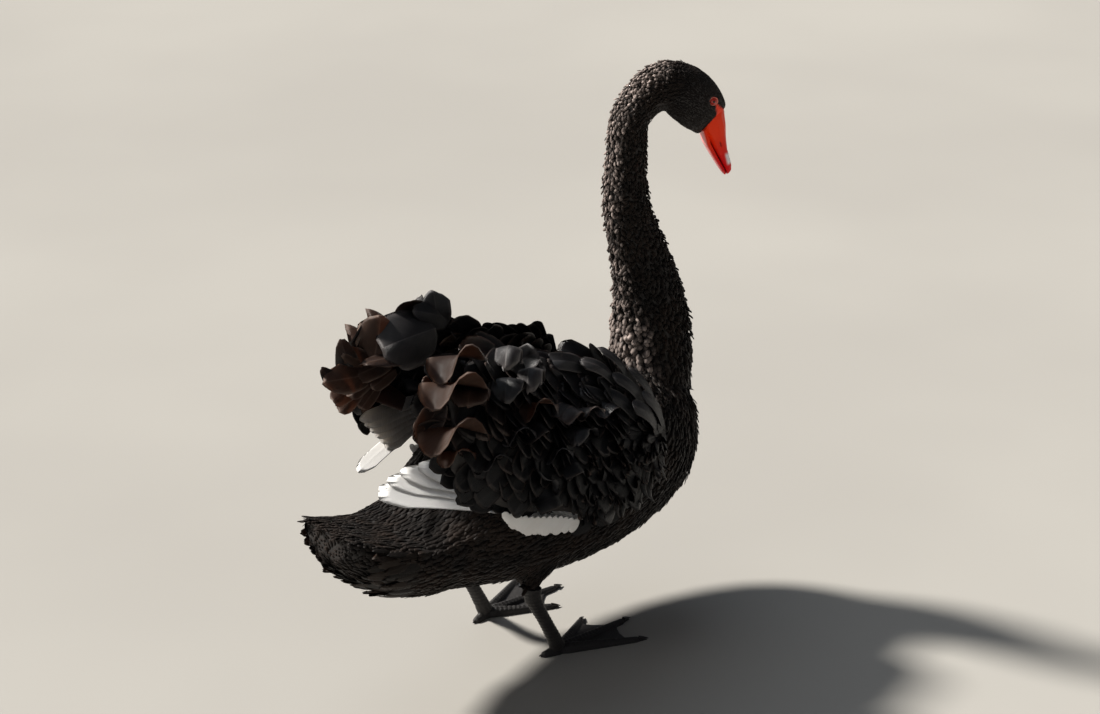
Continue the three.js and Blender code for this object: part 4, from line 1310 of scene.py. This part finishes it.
bill = bill_finish()
for node, name in (("bill_upper", "upper_bill"), ("bill_lower", "lower_bill")):
    horn = smooth_body([node], name, 0.0008, 10)
    horn_places = corners_of(horn.data)
    ahead, left, up = head_places(horn_places).T
    down = share_of_run(ahead, up, BILL_FOOT, BILL_END)
    upper = node == "bill_upper"
    turn = np.array(((BILL_AHEAD, BILL_DROP), (-BILL_DROP, BILL_AHEAD)))
    away = (np.stack([ahead, up], 1) - NOSTRIL) @ turn
    # The slit is dented in and painted dark, the dark a painted shade in the nostril's opening.
    slit = np.exp(-((away[:, 0] / NOSTRIL_LONG) ** 2 + (away[:, 1] / NOSTRIL_WIDE) ** 2) ** 2)
    slit = slit * (np.abs(left) > 3) * upper
    nail = smooth_step(down, NAIL_START, NAIL_START + 0.04) * upper
    inward = -np.outer(np.sign(left), np.array(HEAD_LEFT)) * slit[:, None] * NOSTRIL_DEEP
    raised = normals_of(horn.data) * (nail * np.exp(-(left / NAIL_HALF) ** 2) * NAIL_HIGH)[:, None]
    foot = (1 - smooth_step(down, *FOOT_DRAWN[node]))[:, None]
    sunk = foot * head_step(*FOOT_SUNK[node])
    swollen = normals_of(horn.data) * foot * FOOT_SWOLLEN[node]
    brow = close_to(horn_places, BROW, BROW_REACH) * np.array(HEAD_AHEAD) * BROW_DRAWN
    move_corners(horn.data, horn_places + (inward + raised) * 0.001 + sunk + swollen + brow)
    crest = 1 - smooth_step(from_line(ahead, up, BILL_CREST), CREST_NEAR, CREST_FAR)
    bowed = down + (left / 12) ** 2 * 0.04
    band = stretch(bowed, *BAND) * crest * upper
    # The seam where the two halves meet is painted dark: painted shade.
    mouth_shade = np.exp(-(from_line(ahead, up, BILL_MEET) / LIP_HALF) ** 2) * 0.8
    # The lower half's rear edge, where it faces down and back, is painted pale: a painted highlight.
    below = normals_of(horn.data) @ np.array(HEAD_AHEAD * -BILL_DROP + Vector((0, 0, -BILL_AHEAD)))
    rim = smooth_step(below, 0.94, 1.0) * 0.35 * (not upper)
    marked(horn, "down", down)
    marked(horn, "pale", np.clip(band + rim, 0, 1))
    marked(horn, "dark", np.clip(slit * 0.6 + mouth_shade, 0, 1))
    mapped(horn)
    horn.data.materials.append(bill)
    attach(horn, "root")
    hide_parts(node)


# Eyes: wet balls with a dark red iris round a black pupil, sunk in the head so that only
# their front shows, each in a thin ring of bare pale red lid.
EYE_OUT, EYE_RADIUS = 18.9, 6.0
PUPIL_RADIUS, IRIS_RADIUS = 1.5, 4.2
CORNEA_HIGH = 0.05
LID_OUT, LID_RADIUS, LID_THICK = 22.4, 4.9, 0.9


def eye_finish():
    finish = Finish("eye", roughness=0.12, specular_ior_level=0.3, coat_weight=0.3, coat_roughness=0.03)
    from_middle = finish.attribute("from_middle")
    streaks = finish.noise(2600, 2.0)
    iris = finish.mixed(streaks.between(0.3, 0.7), (0.30, 0.015, 0.010, 1), (0.55, 0.035, 0.02, 1))
    pupil_edge = from_middle.between(PUPIL_RADIUS - 0.15, PUPIL_RADIUS + 0.15)
    iris_edge = from_middle.between(IRIS_RADIUS - 0.3, IRIS_RADIUS + 0.4)
    seen = finish.mixed(pupil_edge, (0.001, 0.001, 0.001, 1), iris)
    return finish.feeds(base_color=finish.mixed(iris_edge, seen, (0.02, 0.004, 0.004, 1)))


def lid_finish():
    finish = Finish("lid", roughness=0.5, subsurface_weight=0.05)
    folds = finish.noise(1500, 3.0)
    tone = finish.mixed(folds.between(0.3, 0.75), (0.80, 0.20, 0.14, 1), (0.55, 0.09, 0.06, 1))
    return finish.feeds(base_color=tone, normal=finish.bump(folds, 0.5, 0.0003))


def on_head(piece, side, out):
    """Puts a piece made round the origin, facing up, on the side of the head, facing out."""
    local = corners_of(piece.data)
    axes = np.array([HEAD_AHEAD, (0, 0, 1), HEAD_LEFT * side])
    middle = np.array(in_head(EYE_AHEAD, side * out, EYE_UP))
    move_corners(piece.data, middle + local @ axes)
    faced_out(piece)
    bpy.ops.object.shade_smooth()


eye, lid = eye_finish(), lid_finish()
for side, word in WING_WORD.items():
    bpy.ops.object.select_all(action="DESELECT")
    bpy.ops.mesh.primitive_uv_sphere_add(segments=48, ring_count=32, radius=EYE_RADIUS / 1000)
    ball = bpy.context.object
    ball.name = "eyeball_" + word
    local = corners_of(ball.data) * 1000
    from_middle = np.where(local[:, 2] > 0, np.hypot(local[:, 0], local[:, 1]), EYE_RADIUS)
    cornea = 1 + CORNEA_HIGH * (1 - smooth_step(from_middle, 0, IRIS_RADIUS))
    marked(ball, "from_middle", from_middle)
    move_corners(ball.data, local * cornea[:, None] / 1000)
    on_head(ball, side, EYE_OUT)
    mapped(ball)
    ball.data.materials.append(eye)
    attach(ball, "root")
    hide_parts("eye_" + word)

    bpy.ops.object.select_all(action="DESELECT")
    bpy.ops.mesh.primitive_torus_add(
        major_segments=48, minor_segments=14, major_radius=LID_RADIUS / 1000, minor_radius=LID_THICK / 1000,
    )
    ring = bpy.context.object
    ring.name = "lid_" + word
    move_corners(ring.data, corners_of(ring.data) * np.array((1.06, 0.94, 0.9)))
    on_head(ring, side, LID_OUT)
    mapped(ring)
    ring.data.materials.append(lid)
    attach(ring, "root")


# Legs and feet: grey-black leathery skin over bone, cross-scaled down the shank and the
# toes, with a thin web between the front toes and a blunt claw of horn on each toe.
TOES_X = 0.0049
TOE_LENGTHS = (0.094, 0.124, 0.113, 0.026)
TOE_TURNS = tuple(math.radians(turn) for turn in (28, 2, -26, 168))
LEG_CELL, LEG_SMOOTHED = 0.0012, 3
SHANK_RINGS, TOE_RINGS, RING_HIGH = 0.0052, 0.0058, 0.00022
# A claw's length and thickness, how far it is sunk in the toe, how high its root lies and how
# far its tip comes down.
CLAW_LONG, CLAW_THICK = 0.012, 0.0027
CLAW_SUNK, CLAW_UP, CLAW_DOWN = 0.010, 0.0042, 0.0024


def leg_finish():
    finish = Finish("leg", roughness=0.5, specular_ior_level=0.4)
    place = finish.place()
    edges = {"feature": "DISTANCE_TO_EDGE"}
    cracks = finish.node("ShaderNodeTexVoronoi", edges, {"Vector": place, "Scale": 420}).between(0.0, 0.12)
    cloud = finish.noise(60, 3.0, place)
    scale = finish.mixed(cloud, (0.016, 0.0145, 0.014, 1), (0.034, 0.030, 0.028, 1))
    return finish.feeds(
        base_color=finish.mixed(cracks, (0.010, 0.009, 0.009, 1), scale),
        roughness=0.4 + cloud * 0.25,
        normal=finish.bump(cracks, 0.5, 0.0004),
    )


leg_skin = leg_finish()
claw_horn = Finish("claw", roughness=0.3, base_color=(0.02, 0.017, 0.015, 1)).material
for side, word in WING_WORD.items():
    leg = smooth_body(["shank_" + word, "foot_" + word], "leg_" + word, LEG_CELL, LEG_SMOOTHED)
    leg_places = corners_of(leg.data)
    root = np.array((TOES_X, MIDLINE + LEG_OUT * side))
    from_root = np.hypot(leg_places[:, 0] - root[0], leg_places[:, 1] - root[1])
    on_shank = smooth_step(leg_places[:, 2], 0.016, 0.028)
    on_toes = (1 - on_shank) * (leg_places[:, 2] > 0.007)
    rings = np.sin(leg_places[:, 2] * TURN_ROUND / SHANK_RINGS) * on_shank
    rings = rings + np.sin(from_root * TURN_ROUND / TOE_RINGS) * on_toes
    raised = (np.clip(rings * 2, -1, 1) * RING_HIGH)[:, None]
    move_corners(leg.data, leg_places + normals_of(leg.data) * raised)
    mapped(leg)
    leg.data.materials.append(leg_skin)
    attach(leg, "root")
    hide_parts("shank_" + word, "foot_" + word)

    claws = []
    for reach_out, turn in zip(TOE_LENGTHS, TOE_TURNS):
        bpy.ops.object.select_all(action="DESELECT")
        bpy.ops.mesh.primitive_cone_add(
            vertices=16, radius1=CLAW_THICK, radius2=CLAW_THICK / 5, depth=CLAW_LONG,
        )
        claw = bpy.context.object
        edited(claw, (bpy.ops.mesh.subdivide, {"number_cuts": 4}))
        local = corners_of(claw.data)
        out = local[:, 2] + CLAW_LONG / 2
        yaw = -turn * side
        ahead = reach_out - CLAW_SUNK + out
        drop = CLAW_UP - CLAW_DOWN * (out / CLAW_LONG) ** 2 + local[:, 0]
        placed = np.stack([
            root[0] + ahead * math.cos(yaw) - local[:, 1] * math.sin(yaw),
            root[1] + ahead * math.sin(yaw) + local[:, 1] * math.cos(yaw),
            drop,
        ], 1)
        move_corners(claw.data, placed)
        claws.append(claw)
    only(*claws)
    bpy.ops.object.join()
    claws = bpy.context.object
    claws.name = "claws_" + word
    faced_out(claws)
    bpy.ops.object.shade_smooth_by_angle(angle=math.radians(40))
    mapped(claws)
    claws.data.materials.append(claw_horn)
    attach(claws, "root")


# Tail: short broad feathers in overlapping rows round the tail's dished body, their free ends
# stepping up into its ragged rear edge.
TAIL_FROM, TAIL_CLEAR = -0.195, 0.012
TAIL_SPACING, TAIL_LONGEST, TAIL_VANE_HALF = 0.0105, 0.056, 0.0072
tail_vanes = vane_finish(
    "tail_vanes", (0.008, 0.0065, 0.0058, 1), (0.024, 0.0165, 0.0125, 1), (0.06, 0.045, 0.037, 1), 0.42, 0.6,
    (0.10, 0.04, (0.30, 0.14, 0.08, 1)),
)
tail_places, tail_normals, _ = drawn_roots(skin.data, ROOTS_DRAWN // 4)
behind = np.flatnonzero((tail_places[:, 0] < TAIL_FROM) & (tail_places[:, 0] > TAIL_END + TAIL_CLEAR))
behind = behind[thinned(tail_places[behind], np.full(len(behind), TAIL_SPACING))]
made, tints = [], []
_, tail_run = along_spine(tail_places[behind])
for number, root in enumerate(behind):
    off = tail_normals[root]
    run_here = unit(tail_run[number] - off * (tail_run[number] @ off))
    left_over = tail_places[root][0] - tail_end(tail_places[[root]])[0]
    reach_out = min(TAIL_LONGEST, left_over + rng.uniform(-0.008, 0.005))
    turned = rng.normal(0, 0.12)
    run_here = run_here * math.cos(turned) + np.cross(off, run_here) * math.sin(turned)
    made.append(vane(
        tail_places[root] - off * 0.001, run_here, off, reach_out, about(TAIL_VANE_HALF, 0.2),
        lift=rng.uniform(0.02, 0.14), curl=rng.uniform(-0.45, 0.0), cup=0.25, blunt=0.3, ragged=0.08,
        wave=rng.uniform(0, 0.1), phase=rng.uniform(0, TURN_ROUND), rows=9,
    ))
    tints.append(rng.random())
feathers("tail_feathers", made, 9, tail_vanes, tints)
